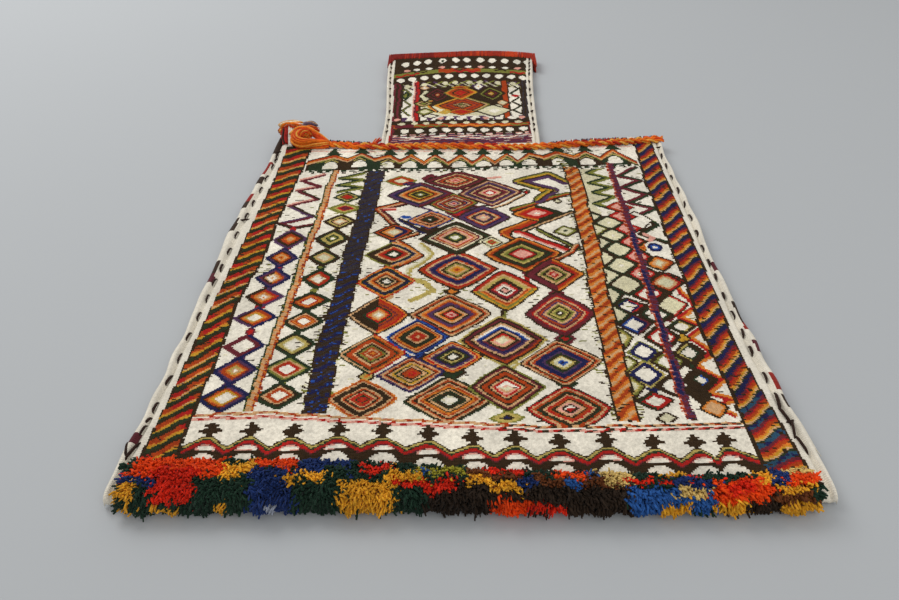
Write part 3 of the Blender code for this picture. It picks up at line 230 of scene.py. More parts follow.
# Strands of yarn: lanes from the strand's right to its left, width, corners
STRANDS = [
    ("KOAARR", 13, [(80, -53), (46, -74), (60, -86)]), ("KIIISRRK", 17, [(60, -77), (101, -107)]),
    ("GKTK", 7, [(118, -43), (84, -60), (66, -71)]),
    ("KLGK", 6, [(80, -70), (96, -86), (115, -104)]),
    ("KTAK", 7, [(114, -98), (108, -108), (88, -121)]),
    ("KALK", 8, [(57, -36), (84, -24), (119, -8)]),
    ("KLYKPP", 13, [(118, 16), (103, 31), (69, 16), (104, -2), (86, -19)]),
    ("KTIIGK", 11, [(28, -32), (50, -23), (74, -3)]),
    ("KATUK", 10, [(-50, -15), (-83, -26), (-64, -57)]), ("RS", 5, [(-76, -27), (-66, -28)]),
    ("NKI", 8, [(-57, -46), (-35, -70)]), ("B", 5, [(-56, -42), (-50, -43)]),
    ("II", 4, [(-26, 14), (-9, 0)]), ("PI", 5, [(-47, -19), (-26, -32)]),
    ("I", 4, [(5, 2), (22, 15)]), ("S", 4, [(30, 24), (50, 26)]),
    ("KTAK", 7, [(-42, -73), (-62, -82), (-38, -108), (-62, -125)]),
    ("NP", 6, [(-66, -76), (-66, -90)]),
    ("EC", 6, [(-38, -91), (-27, -106), (-36, -118), (-49, -128), (-48, -138)]),
    ("C", 6, [(-45, -143), (-32, -148), (-24, -158)]), ("C", 5, [(-28, -160), (-45, -172)]),
    ("R", 5, [(60, -154), (60, -140), (66, -136)]),
    ("RRU", 9, [(62, -138), (74, -126), (90, -112)]), ("KL", 6, [(37, -177), (36, -197)]),
    ("UP", 5.7, [(-182, -50), (-152, -38)]), ("KP", 5.7, [(-152, -38), (-180, -17)]),
    ("US", 6.2, [(-180, -17), (-151, -5)]), ("KU", 5.7, [(-151, -5), (-176, 14)]),
    ("US", 6.2, [(-176, 14), (-150, 20)]), ("UU", 5.2, [(-150, 20), (-174, 34)]),
    ("US", 6.2, [(-174, 34), (-150, 45)]), ("KU", 5.7, [(-182, -50), (-168, -58), (-151, -54)]),
    ("GL", 6.2, [(-105, 44), (-130, 36), (-104, 30), (-130, 22), (-104, 15), (-128, 8)]),
    ("UG", 6.7, [(205, 42), (182, 25), (204, 14), (180, 1), (204, -13), (181, -27), (204, -40),
        (184, -52)]),
    ("KG", 5.7, [(184, -52), (201, -68), (180, -84), (203, -98)]),
    ("S", 5.2, [(184, -84), (190, -90), (178, -104)]),
    ("RO", 5.7, [(193, -162), (203, -190), (187, -202), (204, -214), (188, -226), (202, -244),
        (183, -254), (199, -272)]),
    ("RO", 5.2, [(199, -272), (184, -284), (201, -292), (187, -298), (197, -306)]),
    ("RK", 5.2, [(190, -146), (202, -156)]),
    ("GL", 6.2, [(170, 45), (146, 33), (168, 22), (146, 12), (169, 3), (147, -7), (168, -16),
        (146, -28), (160, -38)]),
    ("G", 4.2, [(176, 60), (168, 46)]),
]
NECK_STRANDS = [
    ("KUKU", 13, [(-73, 172), (-74, 272)]),
    ("GLK", 4, [(-56, 182), (-65, 195), (-56, 210), (-65, 224), (-56, 240), (-64, 258)]),
    ("KRRUSI", 12, [(-48, 168), (-49, 280)]), ("KAAAK", 11, [(69, 172), (74, 276)]),
    ("GK", 3.5, [(90, 180), (79, 190), (90, 202), (79, 214), (90, 226), (80, 240), (91, 254),
        (82, 268)]),
    ("KKDKDK", 13, [(95, 172), (103, 280)]), ("URU", 9, [(98, 126), (99, 152)]),
    ("URA", 9, [(-81, 118), (-79, 150)]),
    ("KOC", 7, [(-22, 190), (-36, 216), (-18, 226), (0, 252)]),
]
FOOT_TREES = [
    (-190, -306), (-160, -306.5), (-128.6, -308), (-95.7, -308), (-62, -310), (-29.3, -313.6),
    (3, -318), (34, -320.7), (65, -324.3), (98.6, -323.6), (130.7, -325.7), (161.4, -327),
    (183, -327),
]
SHOULDER_TREES = [
    (-144, 98), (-111, 98), (-77, 92), (-51, 91), (-22, 90), (6, 90), (33, 90), (60, 88),
    (86.5, 87), (121, 88), (154, 89), (186, 93),
]
SHOULDER_ZIGZAG = [
    (-172, 76), (-144, 90), (-128, 79), (-111, 92), (-94, 78), (-77, 86), (-64, 73), (-51, 85),
    (-36, 69), (-22, 84), (-8, 66), (6, 83), (19, 64), (33, 81), (45, 63), (60, 80), (72, 63),
    (86.5, 81), (103, 72), (121, 83), (139, 72), (154, 83), (168, 68), (186, 86), (208, 56),
]
# Rows of pale drops: height, half width, half height, yarn, middles. The rows above SAG_FROM sag.
DROPS = [
    (139, 5.4, 6.0, "I", (-62, -44, -27, -10, 7, 23, 39, 55, 70, 87)),
    (158, 4.6, 3.8, "E", (-66, -50, -35, -18, 0, 16, 33, 50, 66, 82)),
    (170, 4.4, 3.8, "S", (-72, -56, -38, -16, 8, 26, 42, 58, 74, 88)),
    (276, 4.2, 6, "E", (-62, -38, -9, 6, 26, 40, 65, 86)),
    (298.5, 5.9, 7.6, "I", (-71, -55, -38, -20, -3, 15, 33, 50, 68, 85, 101)),
    (329, 5, 4.4, "S", (-63, -48, -31, -12, 6, 25, 43, 60, 79, 97)),
    (353, 5.6, 9, "I", (-66, -50, -33, -12, 8, 25, 45, 62, 80, 98, 113)),
]
SAG_FROM = 255

# Stripes of the long slanting bands: the heights where they start, measured up the band's left
# edge, and their slope by y
LEFT_BARBER_STARTS = (
    -354, -340, -326, -312, -298, -283, -267, -252, -236, -218, -200, -181, -163, -146, -128, -111,
    -94, -77, -61, -44, -27, -8.5, 10, 29, 47, 65, 84, 102, 120,
)
LEFT_BARBER_SLOPE = polyline([
    (-320, 0.55), (-260, 0.65), (-200, 0.75), (-140, 0.6), (-80, 0.5), (-20, 0.52), (40, 0.42),
])
RIGHT_BARBER_STARTS = (
    -382, -366, -350, -334, -318, -303, -288, -270, -252, -233, -214, -197, -180, -162, -143, -125,
    -107, -90, -72, -52, -32, -12, 8, 29, 48, 68, 88, 108,
)
RIGHT_BARBER_SLOPE = polyline([
    (-345, 0.3), (-310, 0.5), (-270, 0.85), (-200, 0.78), (-140, 0.83), (-80, 0.77), (-20, 0.85),
    (40, 0.9),
])
ORANGE_STARTS = np.append(np.arange(-340, -150, 12.6), np.arange(-151, 80, 14.4))
NAVY_WIDE, ORANGE_WIDE = 20, 18.5
# Plied stripes beside the bands: from and to across the stripe, and the yarns of its five turns
LEFT_PLIES = ((-4.4, -2.4, "GGGLG"), (-2.4, 1.8, "TTOTT"), (1.8, 4.0, "AOAUA"))
RIGHT_PLIES = ((-4.0, -2.0, "AASAU"), (-2.0, 2.0, "UUPUU"), (2.0, 4.0, "PUUPK"))


class Weaving:
    """The yarn at each stitch of a cloth: motifs are laid one over another, and the last holds."""

    def __init__(self, x, y):
        # The weaver's hand: lines wander, and each row of stitches ends a little early or late
        ragged = 0.55 * scatter(np.floor(y / STITCH_HIGH) * 12.9898)
        wander = 0.9 * np.sin(y / 19 + 0.7) * np.sin(x / 27)
        self.x = x + wander + 0.5 * np.sin(y / 7.3 + x / 11) + ragged
        drift = 0.9 * np.sin(x / 23 + 1.9) * np.sin(y / 31 + 0.4)
        self.y = y + drift + 0.4 * np.sin(x / 6.1 - y / 13)
        self.yarn = np.full(x.shape, LETTERS.index("I"), np.uint8)

    def lay(self, where, letter):
        self.yarn[where] = LETTERS.index(letter)

    def turn(self, old, new, where):
        """Another yarn takes over from one that is there already."""
        self.lay((self.yarn == LETTERS.index(old)) & where, new)

    def rings(self, where, depth, letters):
        """Yarn by depth from 0 at a motif's edge to 1 at its middle, one letter to each step."""
        steps = np.clip((depth * len(letters)).astype(int), 0, len(letters) - 1)
        for i, letter in enumerate(letters):
            self.lay(where & (steps == i), letter)

    def lozenge(self, x, y, half_width, half_height, letters):
        """Nested rings whose sides bow out a little."""
        bow = 1.12
        across, up = (self.x - x) / half_width, (self.y - y) / half_height
        depth = 1 - (np.abs(across) ** bow + np.abs(up) ** bow) ** (1 / bow)
        split = across if "|" in letters else -up
        first, _, second = letters.replace("|", "/").partition("/")
        self.rings((depth > 0) & ((split < 0) | (not second)), depth, first)
        if second:
            self.rings((depth > 0) & (split >= 0), depth, second)

    def strand(self, letters, width, corners):
        """Lanes of yarn along a line with corners."""
        nearest = np.full(self.x.shape, np.inf)
        offset = np.zeros(self.x.shape)
        for (x0, y0), (x1, y1) in zip(corners, corners[1:]):
            dx, dy = x1 - x0, y1 - y0
            t = np.clip(((self.x - x0) * dx + (self.y - y0) * dy) / (dx * dx + dy * dy), 0, 1)
            away = np.hypot(self.x - x0 - t * dx, self.y - y0 - t * dy)
            side = np.sign(dx * (self.y - y0) - dy * (self.x - x0))
            closer = away < nearest
            offset = np.where(closer, away * side, offset)
            nearest = np.where(closer, away, nearest)
        self.rings(nearest < width / 2, offset / width + 0.5, letters)

    def layers(self, where, top, letters, depths):
        """Lines of yarn that follow a curve, from it downwards."""
        below = top - self.y
        start = 0.0
        for letter, depth in zip(letters, depths):
            self.lay(where & (below >= start) & (below < start + depth), letter)
            start += depth

    def slants(self, left, right, low, high, starts, slope, letters, edge):
        """A band up the cloth in slanting stripes, a little bowed, between two dark edges. Each
        stripe of letters runs from one of the starts to the next."""
        a, b = left(self.y), right(self.y)
        inside = between(self.x, a, b) & between(self.y, low, high)
        self.lay(inside, "K")
        inside &= between(self.x, a + edge, b - edge)
        bow = 1.6 * np.sin(2 * np.pi * np.clip((self.x - a) / (b - a), 0, 1))
        rise = slope(self.y) if callable(slope) else slope
        along = self.y + bow - rise * (self.x - a)
        phase = np.interp(along, starts, np.arange(len(starts))) % 1.0
        self.rings(inside, phase, letters)
        # Dark weft picks, two stitches wide, cross the stripes here and there
        row, place = np.floor(self.y / STITCH_HIGH), np.floor(self.x / (2 * STITCH_WIDE))
        self.lay(inside & (chance(row, place, 51.7, 17.3) < 0.07), "K")

    def plies(self, line, low, high, lanes):
        """A plied stripe up the cloth, whose yarns change by turns."""
        middle, turn = line(self.y), self.turns()
        for start, stop, letters in lanes:
            for i, letter in enumerate(letters):
                lane = between(self.x, middle + start, middle + stop) & between(self.y, low, high)
                self.lay(lane & (turn == i), letter)

    def turns(self):
        """The turn of a plied stripe that shows at each stitch, from 0 to 4."""
        return (self.y / STITCH_HIGH + self.x / 3).astype(int) % 5

    def drop(self, x, y, half_width, half_height, letter):
        """A round head over a point."""
        up = (self.y - y) / half_height
        round_head, point = np.sqrt(np.clip(1 - up * up, 0, 1)), 1 - np.abs(up) ** 1.5
        wide = half_width * np.where(up > 0, round_head, point)
        self.lay((np.abs(self.x - x) < wide) & (np.abs(up) < 1), letter)

    def tree(self, x, y, letter):
        """A small stepped tree, 12 mm high: two tiers of branches over a short stem."""
        up = self.y - y
        tiers = ((-6.2, -4.4, 2.4), (-4.4, -2.6, 4.8), (-2.6, -0.6, 8.2), (-0.6, 0.8, 5.8),
                 (0.8, 2.2, 3.4), (2.2, 3.8, 4.8), (3.8, 5.8, 1.8))
        for low, high, half in tiers:
            self.lay((up >= low) & (up < high) & (np.abs(self.x - x) < half), letter)

    def lens(self, x, y, half_width, height, letter):
        """A low dome over a flat foot."""
        dome = ((self.x - x) / half_width) ** 2 + ((self.y - y) / height) ** 2
        self.lay((dome < 1) & (self.y > y), letter)

    def arch(self, x, y, half_width, slope, depth, letter):
        """A line of yarn that bends over a motif like a roof."""
        below = y - slope * np.abs(self.x - x) - self.y
        self.lay(between(below, 0, depth) & (np.abs(self.x - x) < half_width), letter)


def woven_body(x, y):
    """The yarns of the pouch's face, from the foot to the shoulder."""
    cloth = Weaving(x, y)
    x, y = cloth.x, cloth.y
    # The right panel's upper ground is cream, with a zigzag edge
    cloth.lay(between(x, 129, CREAM_EDGE(y)) & between(y, -50, 50), "E")
    for letters, width, corners in STRANDS:
        cloth.strand(letters, width, corners)
    for row in LEFT_PANEL[::-1] + RIGHT_PANEL[::-1] + FIELD:
        cloth.lozenge(*row)
    for radius, letter in EYE:
        cloth.lay(np.hypot(x - EYE_X, y - EYE_Y) < radius, letter)
    weave_foot_border(cloth)
    weave_shoulder_border(cloth)
    weave_bands(cloth)
    weave_stray_picks(cloth)
    return cloth.yarn


def weave_foot_border(cloth):
    """Two dashed lines, then trees on a dark ground with a rim of lines and pale lenses."""
    x, y = cloth.x, cloth.y
    seam = FOOT_SEAM(x)
    cloth.lay(between(x, -209, 203) & (y < seam + 2), "I")
    for shift, first, second in ((0.5, "A", "T"), (-3.2, "R", "S")):
        dash = (np.floor((x + 3 * np.sin(y)) / 4.0) % 3).astype(int)
        on = (np.abs(y - seam - shift) < 1.3) & between(x, -209, 203)
        cloth.lay(on, second)
        cloth.lay(on & (dash == 0), first)
        cloth.lay(on & (dash == 1) & (x > 20), "K")
    # The dark ground rises to each tree's stem and falls to a valley between two
    stem, valley = -6.2, -14.4
    peaks = [(-206, -320)]
    for (x0, y0), (x1, y1) in zip(FOOT_TREES, FOOT_TREES[1:]):
        peaks += [(x0 - 3, y0 + stem), (x0 + 3, y0 + stem), ((x0 + x1) / 2, (y0 + y1) / 2 + valley)]
    x0, y0 = FOOT_TREES[-1]
    peaks += [(x0 - 2, y0 + stem), (x0 + 4, y0 + stem), (204, y0 - 16)]
    top, border = polyline(peaks)(x), between(x, -208, 204)
    cloth.lay(border & (y < top), "K")
    cloth.layers(border, top, "KCGRU", (1.4, 1.5, 1.4, 2.5, 0.9))
    for tree_x, tree_y in FOOT_TREES:
        cloth.tree(tree_x, tree_y, "K")
        cloth.lens(tree_x, tree_y - 18.4, 8.0, 4.6, "S")
        cloth.lens(tree_x, tree_y - 18.0, 7.0, 3.5, "I")
        cloth.lens(tree_x, tree_y - 32.0, 11.4, 11.4, "I")


def weave_shoulder_border(cloth):
    """A zigzag of lines with stepped trees over it and pale lenses under it."""
    x, y = cloth.x, cloth.y
    zigzag = polyline(SHOULDER_ZIGZAG)
    top, low, line = zigzag(x), SHOULDER_LOW(x), SHOULDER_LINE(x)
    border = between(x, -173, 209)
    cloth.lay(border & (y > low - 4), "I")
    cloth.lay(border & (np.abs(y - line) < 0.7) & (y > top), "S")
    cloth.lay(border & (np.abs(y - line - 7) < 0.7) & (y > top), "P")
    cloth.lay(border & between(y, low + 2.5, top), "K")
    cloth.lay(border & between(y, low + 2.5, top) & (np.sin(x / 9) > 0), "G")
    # The zigzag's yarns change every 22 mm
    part = np.floor((x + 8) / 22).astype(int) % 4
    for i, letters in enumerate(("KAOTK", "GAATL", "KOATK", "KATLG")):
        cloth.layers(border & (part == i), top, letters, (2.4, 2.8, 2.2, 2.4, 2.2))
    for tree_x, _ in SHOULDER_TREES:
        peak = float(zigzag(tree_x))
        above = y - peak + 1
        # Each step up makes the tree narrower
        half = 7.6 - 0.6 * 2.4 * np.floor(above / 2.4)
        cloth.lay(between(above, -2, 13) & (np.abs(x - tree_x) < half), "G")
        cloth.arch(tree_x - 1.5, peak - 12.2, 8, 0.85, 2.0, "C")
        base = max(float(SHOULDER_LOW(tree_x)) + 5.5, peak - 33)
        cloth.lens(tree_x - 1.5, base, 8.8, max(7.0, peak - 17.5 - base), "I")
    cloth.lay(border & (np.abs(y - low - 0.5) < 1.6) & (np.floor(x / 3.2) % 3 > 0), "G")
    cloth.lay(border & (np.abs(y - low + 2.8) < 1.2) & (np.floor(x / 4.1 + 1.5) % 3 == 0), "K")


def weave_bands(cloth):
    """The navy and the orange band, the two plied stripes and the barber bands at both sides."""
    x, y = cloth.x, cloth.y
    fleck = chance(np.floor(y / 2.4), np.floor(x / 2.3), 91.7, 31.1)

    def navy_right(v):
        return NAVY_BAND(v) + NAVY_WIDE

    cloth.slants(NAVY_BAND, navy_right, -294, -130, np.arange(-320, 60, 11.0), 0.4, "NBNDKKDK", 1.4)
    cloth.slants(NAVY_BAND, navy_right, -130, 48, np.arange(-320, 60, 10.7), 0.3, "DDNDKDDD", 1.4)
    cloth.turn("D", "B", fleck < 0.06)
    cloth.turn("B", "N", (np.abs(x - NAVY_BAND(y) - 10) < 9) & (fleck > 0.45))
    cloth.slants(ORANGE_BAND, lambda v: ORANGE_BAND(v) + ORANGE_WIDE, -309, 46, ORANGE_STARTS, 0.62,
                 "OTTOOAAA", 2.0)
    cloth.plies(LEFT_STRIPE, -291, 53, LEFT_PLIES)
    cloth.plies(RIGHT_STRIPE, -309, 53, RIGHT_PLIES)
    core = (np.abs(x - RIGHT_STRIPE(y)) < 1.8) & between(y, -308, -60)
    cloth.lay(core & (np.sin(y / 9) > -0.4) & (cloth.turns() != 2), "N")
    cloth.slants(lambda v: LEFT_BAND(v) - 1, LEFT_BARBER, -360, 106, LEFT_BARBER_STARTS,
                 LEFT_BARBER_SLOPE, "GGYTOAAAAKKG", 2.6)
    # Its orange turns red and its sand gold in places
    barber = x < LEFT_BARBER(y)
    cloth.turn("A", "R", barber & (np.sin(y / 13 + x / 8) > 0.35))
    cloth.turn("T", "Y", barber & (np.sin(y / 17 + 1) > 0))
    cloth.turn("O", "A", barber & (np.sin(y / 9 + x / 5) > 0.6))
    cloth.slants(RIGHT_BARBER, lambda v: RIGHT_BAND(v) + 1, -360, 104, RIGHT_BARBER_STARTS,
                 RIGHT_BARBER_SLOPE, "NGTYOAARUUNN", 3.0)
    cloth.turn("N", "Q", (x > 203) & (y < -290) & (fleck > 0.25))


def weave_stray_picks(cloth):
    """Stray weft picks and dust in the ivory ground, thickest beside the long bands."""
    x, y = cloth.x, cloth.y
    # Distance from the nearer band's edge: both bands are about 18 mm wide
    beside = np.minimum(np.abs(x - NAVY_BAND(y) - 9) - 9, np.abs(x - ORANGE_BAND(y) - 9) - 9)
    rate = 0.007 + 0.15 * np.exp(-(np.clip(beside, 0, 99) / 4.0) ** 2)
    rate = rate + 0.03 * (np.abs(y + 160 + 0.2 * x) < 12)
    stray = chance(np.floor(y / STITCH_HIGH), np.floor((x + 2 * np.sin(y)) / 4.4), 78.233, 37.719)
    field = y > FOOT_SEAM(x) + 4
    cloth.turn("I", "K", field & (stray < rate))
    cloth.turn("I", "L", field & (stray > 1 - 0.5 * rate))
    cloth.turn("I", "E", field & (np.abs(stray - 0.5) < 0.5 * rate))


def sag(x):
    """How far the neck's upper bands sag towards the sides."""
    return 0.0016 * (x - 14) ** 2


def woven_neck(x, y):
    """The yarns of the neck's face, from the cord to the mouth."""
    cloth = Weaving(x, y)
    x, y = cloth.x, cloth.y
    level = y + sag(x)
    for height, bands in (
        (y, ((131, 148, "K"), (148, 156, "A"), (156, 166, "K"), (166, 178, "I"), (178, 262, "K"))),
        (level, ((260, 284, "K"), (284, 311, "K"), (311, 323, "L"), (323, 382, "K"))),
    ):
        for low, high, letter in bands:
            cloth.lay(between(height, low, high), letter)
    # The middle panel's ground, and pale ground beside its bars
    cloth.lay(between(y, 178, 206) & between(x, -42, 66), "E")
    cloth.lay(between(y, 172, 268) & (between(x, -66, -54) | between(x, 76, 92)), "I")
    cloth.lay(between(y, 172, 268) & ((x < -80) | (x > 106)), "I")
    # The strip over the cord: pale with purple picks above, darker below
    dark = np.where(y < 117, -0.35, 0.55)
    for shift, long, way, least, letter in (
        (2, 7, -1, 0.5, "S"), (0, 5, 1, dark, "P"), (4, 6, -1, dark + 0.3, "U"),
    ):
        picks = np.sin(y * 1.3 + shift) + 0.6 * np.sin(x / long + way * y)
        cloth.lay((y < 131) & (picks > least), letter)
    cloth.lay(between(y, 125, 131) & (np.sin(x / 1.9) > 0.5), "K")
    # Wavy lines in the two narrow bands
    waves = 2.0 * np.sin(x / 2.7)
    for height, middle, half, where, letter in (
        (y, 151, 2.2, np.sin(x / 21) > -0.3, "O"), (y, 151, 1.6, np.sin(x / 21) < -0.3, "L"),
        (level, 317, 6, between(x, -18, 42), "A"), (level, 314, 2.5, np.sin(x / 13) > 0.2, "R"),
        (level, 320, 2, np.sin(x / 9) > 0.5, "K"),
    ):
        cloth.lay((np.abs(height - middle - waves) < half) & where, letter)
    cloth.lay(between(y, 148, 156) & (np.abs(x + 62) < 11), "U")
    # Small marks under and over the middle panel
    for height, low, high, wave, least, letter in (
        (y, 165, 176, np.sin(x / 2.7) + 0.1 * (y - 170), 0.35, "P"),
        (y, 163, 170, np.sin(x / 2.7 + 2.2), 0.5, "K"),
        (level, 264, 284, np.sin(x / 2.3 + level / 3), 0.6, "P"),
        (level, 264, 284, np.sin(x / 2.9 - level / 3), 0.72, "L"),
        (level, 264, 278, np.sin(x / 1.9 + level / 2), 0.75, "E"),
    ):
        cloth.lay(between(height, low, high) & (wave > least), letter)
    for letters, width, corners in NECK_STRANDS:
        cloth.strand(letters, width, corners)
    for row in NECK:
        cloth.lozenge(*row)
    for row_y, half_width, half_height, letter, middles in DROPS:
        for i, middle in enumerate(middles):
            lift = sag(middle) if row_y > SAG_FROM else 0.0
            # Only every third drop of a pink row is pink
            shown = "I" if letter == "S" and i % 3 else letter
            cloth.drop(middle, row_y - lift, half_width, half_height, shown)
    cloth.lay((np.abs(x + 12) < 2) & (np.abs(y - 352) < 4), "G")
    return cloth.yarn


# ---- Forms that the pieces share ----

# Heights over the floor of the face's weave and of the room's top and bottom
FACE_LEVEL, POCKET_TOP, POCKET_FLOOR = 10.8, 8.0, 3.0
# Widths of the selvedges and folds round the edge, and from them to the room inside
NECK_STRIP, SHOULDER_STRIP, FOOT_STRIP, POCKET_MARGIN, POCKET_INSET = 10.0, 6.0, 8.0, 3.0, 17.0
# Height of the rolled selvedge over the face, by share of the strip from its rim to the brocade
SELVEDGE = curve([
    (0, -4.2), (0.04, -1.7), (0.1, 0.2), (0.2, 1.6), (0.3, 1.9), (0.4, 1.0), (0.49, -1.9),
    (0.56, -2.1), (0.63, -0.4), (0.76, 0.7), (0.9, 0.3), (1, 0),
])


def ground(x, y):
    """Height of the face's weave: it waves a little, lifts at the tassel's corner and lies flat at
    foot and mouth."""
    calm = near(y, -320, -270) * (1 - near(y, 250, 330))
    wave = np.sin(x / 58 + 0.6) * np.sin(y / 71 + 1.1) + 0.5 * np.sin(x / 31 - y / 44)
    corner = np.exp(-((x + 205) ** 2 + (y - 128) ** 2) / 38 ** 2)
    lift = 1.5 * near(MOUTH(x) - y, 24, 3) * (y > 200)
    return FACE_LEVEL + 0.7 * calm * wave + 4 * corner + lift


def unroll(mesh, points, corners):
    """Lays a piece's picture plane flat over the plan: straight down, without overlaps."""
    margin = 0.01
    layer = mesh.uv_layers.new(name="OFBake")
    flat = points[corners, :2]
    low, high = flat.min(0), flat.max(0)
    spread = margin + (1 - 2 * margin) * (flat - low) / (high - low).max()
    layer.data.foreach_set("uv", spread.astype(np.float32).ravel())


def add_piece(name, points, faces, wools, wool=None, nodes=(), smooth=True, flat=False):
    """A mesh piece from points in plan millimetres and arrays of faces, which rides on the bag."""
    mesh = bpy.data.meshes.new(name)
    points = (np.asarray(points, float).reshape(-1, 3) + PLAN_TO_FRAME) / 1000
    faces = [np.asarray(f, np.int32) for f in faces if len(f)]
    sizes = np.concatenate([np.full(len(f), f.shape[1]) for f in faces])
    corners = np.concatenate([f.ravel() for f in faces])
    mesh.vertices.add(len(points))
    mesh.vertices.foreach_set("co", points.astype(np.float32).ravel())
    mesh.loops.add(len(corners))
    mesh.loops.foreach_set("vertex_index", corners)
    mesh.polygons.add(len(sizes))
    mesh.polygons.foreach_set("loop_start", (np.cumsum(sizes) - sizes).astype(np.int32))
    for material in wools:
        mesh.materials.append(material)
    if wool is not None:
        mesh.polygons.foreach_set("material_index", np.asarray(wool, np.int32))
    mesh.polygons.foreach_set("use_smooth", np.full(len(sizes), smooth))
    if flat:
        unroll(mesh, points, corners)
    mesh.update(calc_edges=True)
    mesh.validate()
    piece = bpy.data.objects.new(name, mesh)
    bpy.context.scene.collection.objects.link(piece)
    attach(piece, "root")
    if nodes:
        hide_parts(*nodes)
    return piece


def yarns(paths, radii, sides=6, tapers=(1.0,), closed=False):
    """Round yarns along paths, an array of (yarns, points, 3), with a radius for each yarn. The
    tapers are shares of the radius from one end to the other."""
    paths = np.asarray(paths, float)
    count, steps = paths.shape[:2]
    along = np.roll(paths, -1, 1) - np.roll(paths, 1, 1) if closed else np.gradient(paths, axis=1)
    along /= np.linalg.norm(along, axis=2, keepdims=True) + 1e-9
    # A yarn that stands upright takes its sides from the y axis
    upright = np.abs(along[..., 2:]) > 0.93
    up = np.where(upright, np.array([0.0, 1.0, 0.0]), np.array([0.0, 0.0, 1.0]))
    side = np.cross(along, up)
    side /= np.linalg.norm(side, axis=2, keepdims=True) + 1e-9
    over = np.cross(side, along)
    turn = np.arange(sides) * 2 * np.pi / sides
    taper = np.interp(np.linspace(0, 1, steps), np.linspace(0, 1, len(tapers)), tapers)
    size = np.asarray(radii, float).reshape(-1, 1, 1, 1) * taper.reshape(1, -1, 1, 1)
    round_it = np.cos(turn)[:, None] * side[:, :, None] + np.sin(turn)[:, None] * over[:, :, None]
    points = (paths[:, :, None] + size * round_it).reshape(-1, 3)
    index = np.arange(count * steps * sides).reshape(count, steps, sides)
    a, b = (index, np.roll(index, -1, 1)) if closed else (index[:, :-1], index[:, 1:])
    quads = np.stack([a, np.roll(a, -1, 2), np.roll(b, -1, 2), b], -1).reshape(-1, 4)
    caps = [] if closed else [index[:, 0, ::-1], index[:, -1]]
    return points, [quads] + caps, count


def gather(parts):
    """One set of points and faces from several yarn groups, with each yarn's number of wool."""
    points, faces, wool, start = [], {}, {}, 0
    for (part_points, part_faces, count), numbers in parts:
        numbers = np.broadcast_to(np.asarray(numbers), (count,))
        for block in part_faces:
            key = block.shape[1]
            faces.setdefault(key, []).append(block + start)
            wool.setdefault(key, []).append(np.repeat(numbers, len(block) // count))
        points.append(part_points)
        start += len(part_points)
    return (np.concatenate(points), [np.concatenate(blocks) for blocks in faces.values()],
            np.concatenate([np.concatenate(blocks) for blocks in wool.values()]))


def add_yarns(name, parts, wools, nodes=()):
    """A piece made of groups of yarns."""
    points, faces, wool = gather(parts)
    return add_piece(name, points, faces, wools, wool, nodes)


# ---- Materials: all of them are wool, each dyed and spun for its own piece ----

# Grain of the wool, in beads of noise to the metre. A stitch is about 2.4 mm long and a patch of
# one dye lot about 30 mm wide. The fibre, really 0.03 mm, is drawn at 0.6 mm so that it shows.
STITCH_GRAIN, LOT_GRAIN, FIBRE_GRAIN = 420.0, 34.0, 1700.0
# Scale of the wave node that makes one rib to the millimetre
RIB_WAVE = 1000 / 6.283 * 2
FIBRE_DEEP, RIB_DEEP = 0.00012, 0.0004
WOOL_IOR, WOOL_SHINE, WOOL_SHEEN, SHEEN_ROUGH = 1.5, 0.15, 0.06, 0.4


def linear(code):
    """Linear colour from an sRGB hex value."""
    values = [int(code[i:i + 2], 16) / 255 for i in (1, 3, 5)]
    return tuple(v / 12.92 if v <= 0.04045 else ((v + 0.055) / 1.055) ** 2.4 for v in values) + (1,)


def add(tree, kind, settings=None, **inputs):
    """One node with its settings, and its inputs set or linked, by name or as i0, i1 and so on."""
    node = tree.nodes.new(kind)
    for key, value in (settings or {}).items():
        setattr(node, key, value)
    for key, value in inputs.items():
        numbered_input = key[0] == "i" and key[1:].isdigit()
        socket = node.inputs[int(key[1:]) if numbered_input else key.replace("_", " ")]
        if isinstance(value, bpy.types.NodeSocket):
            tree.links.new(value, socket)
        else:
            socket.default_value = value
    return node


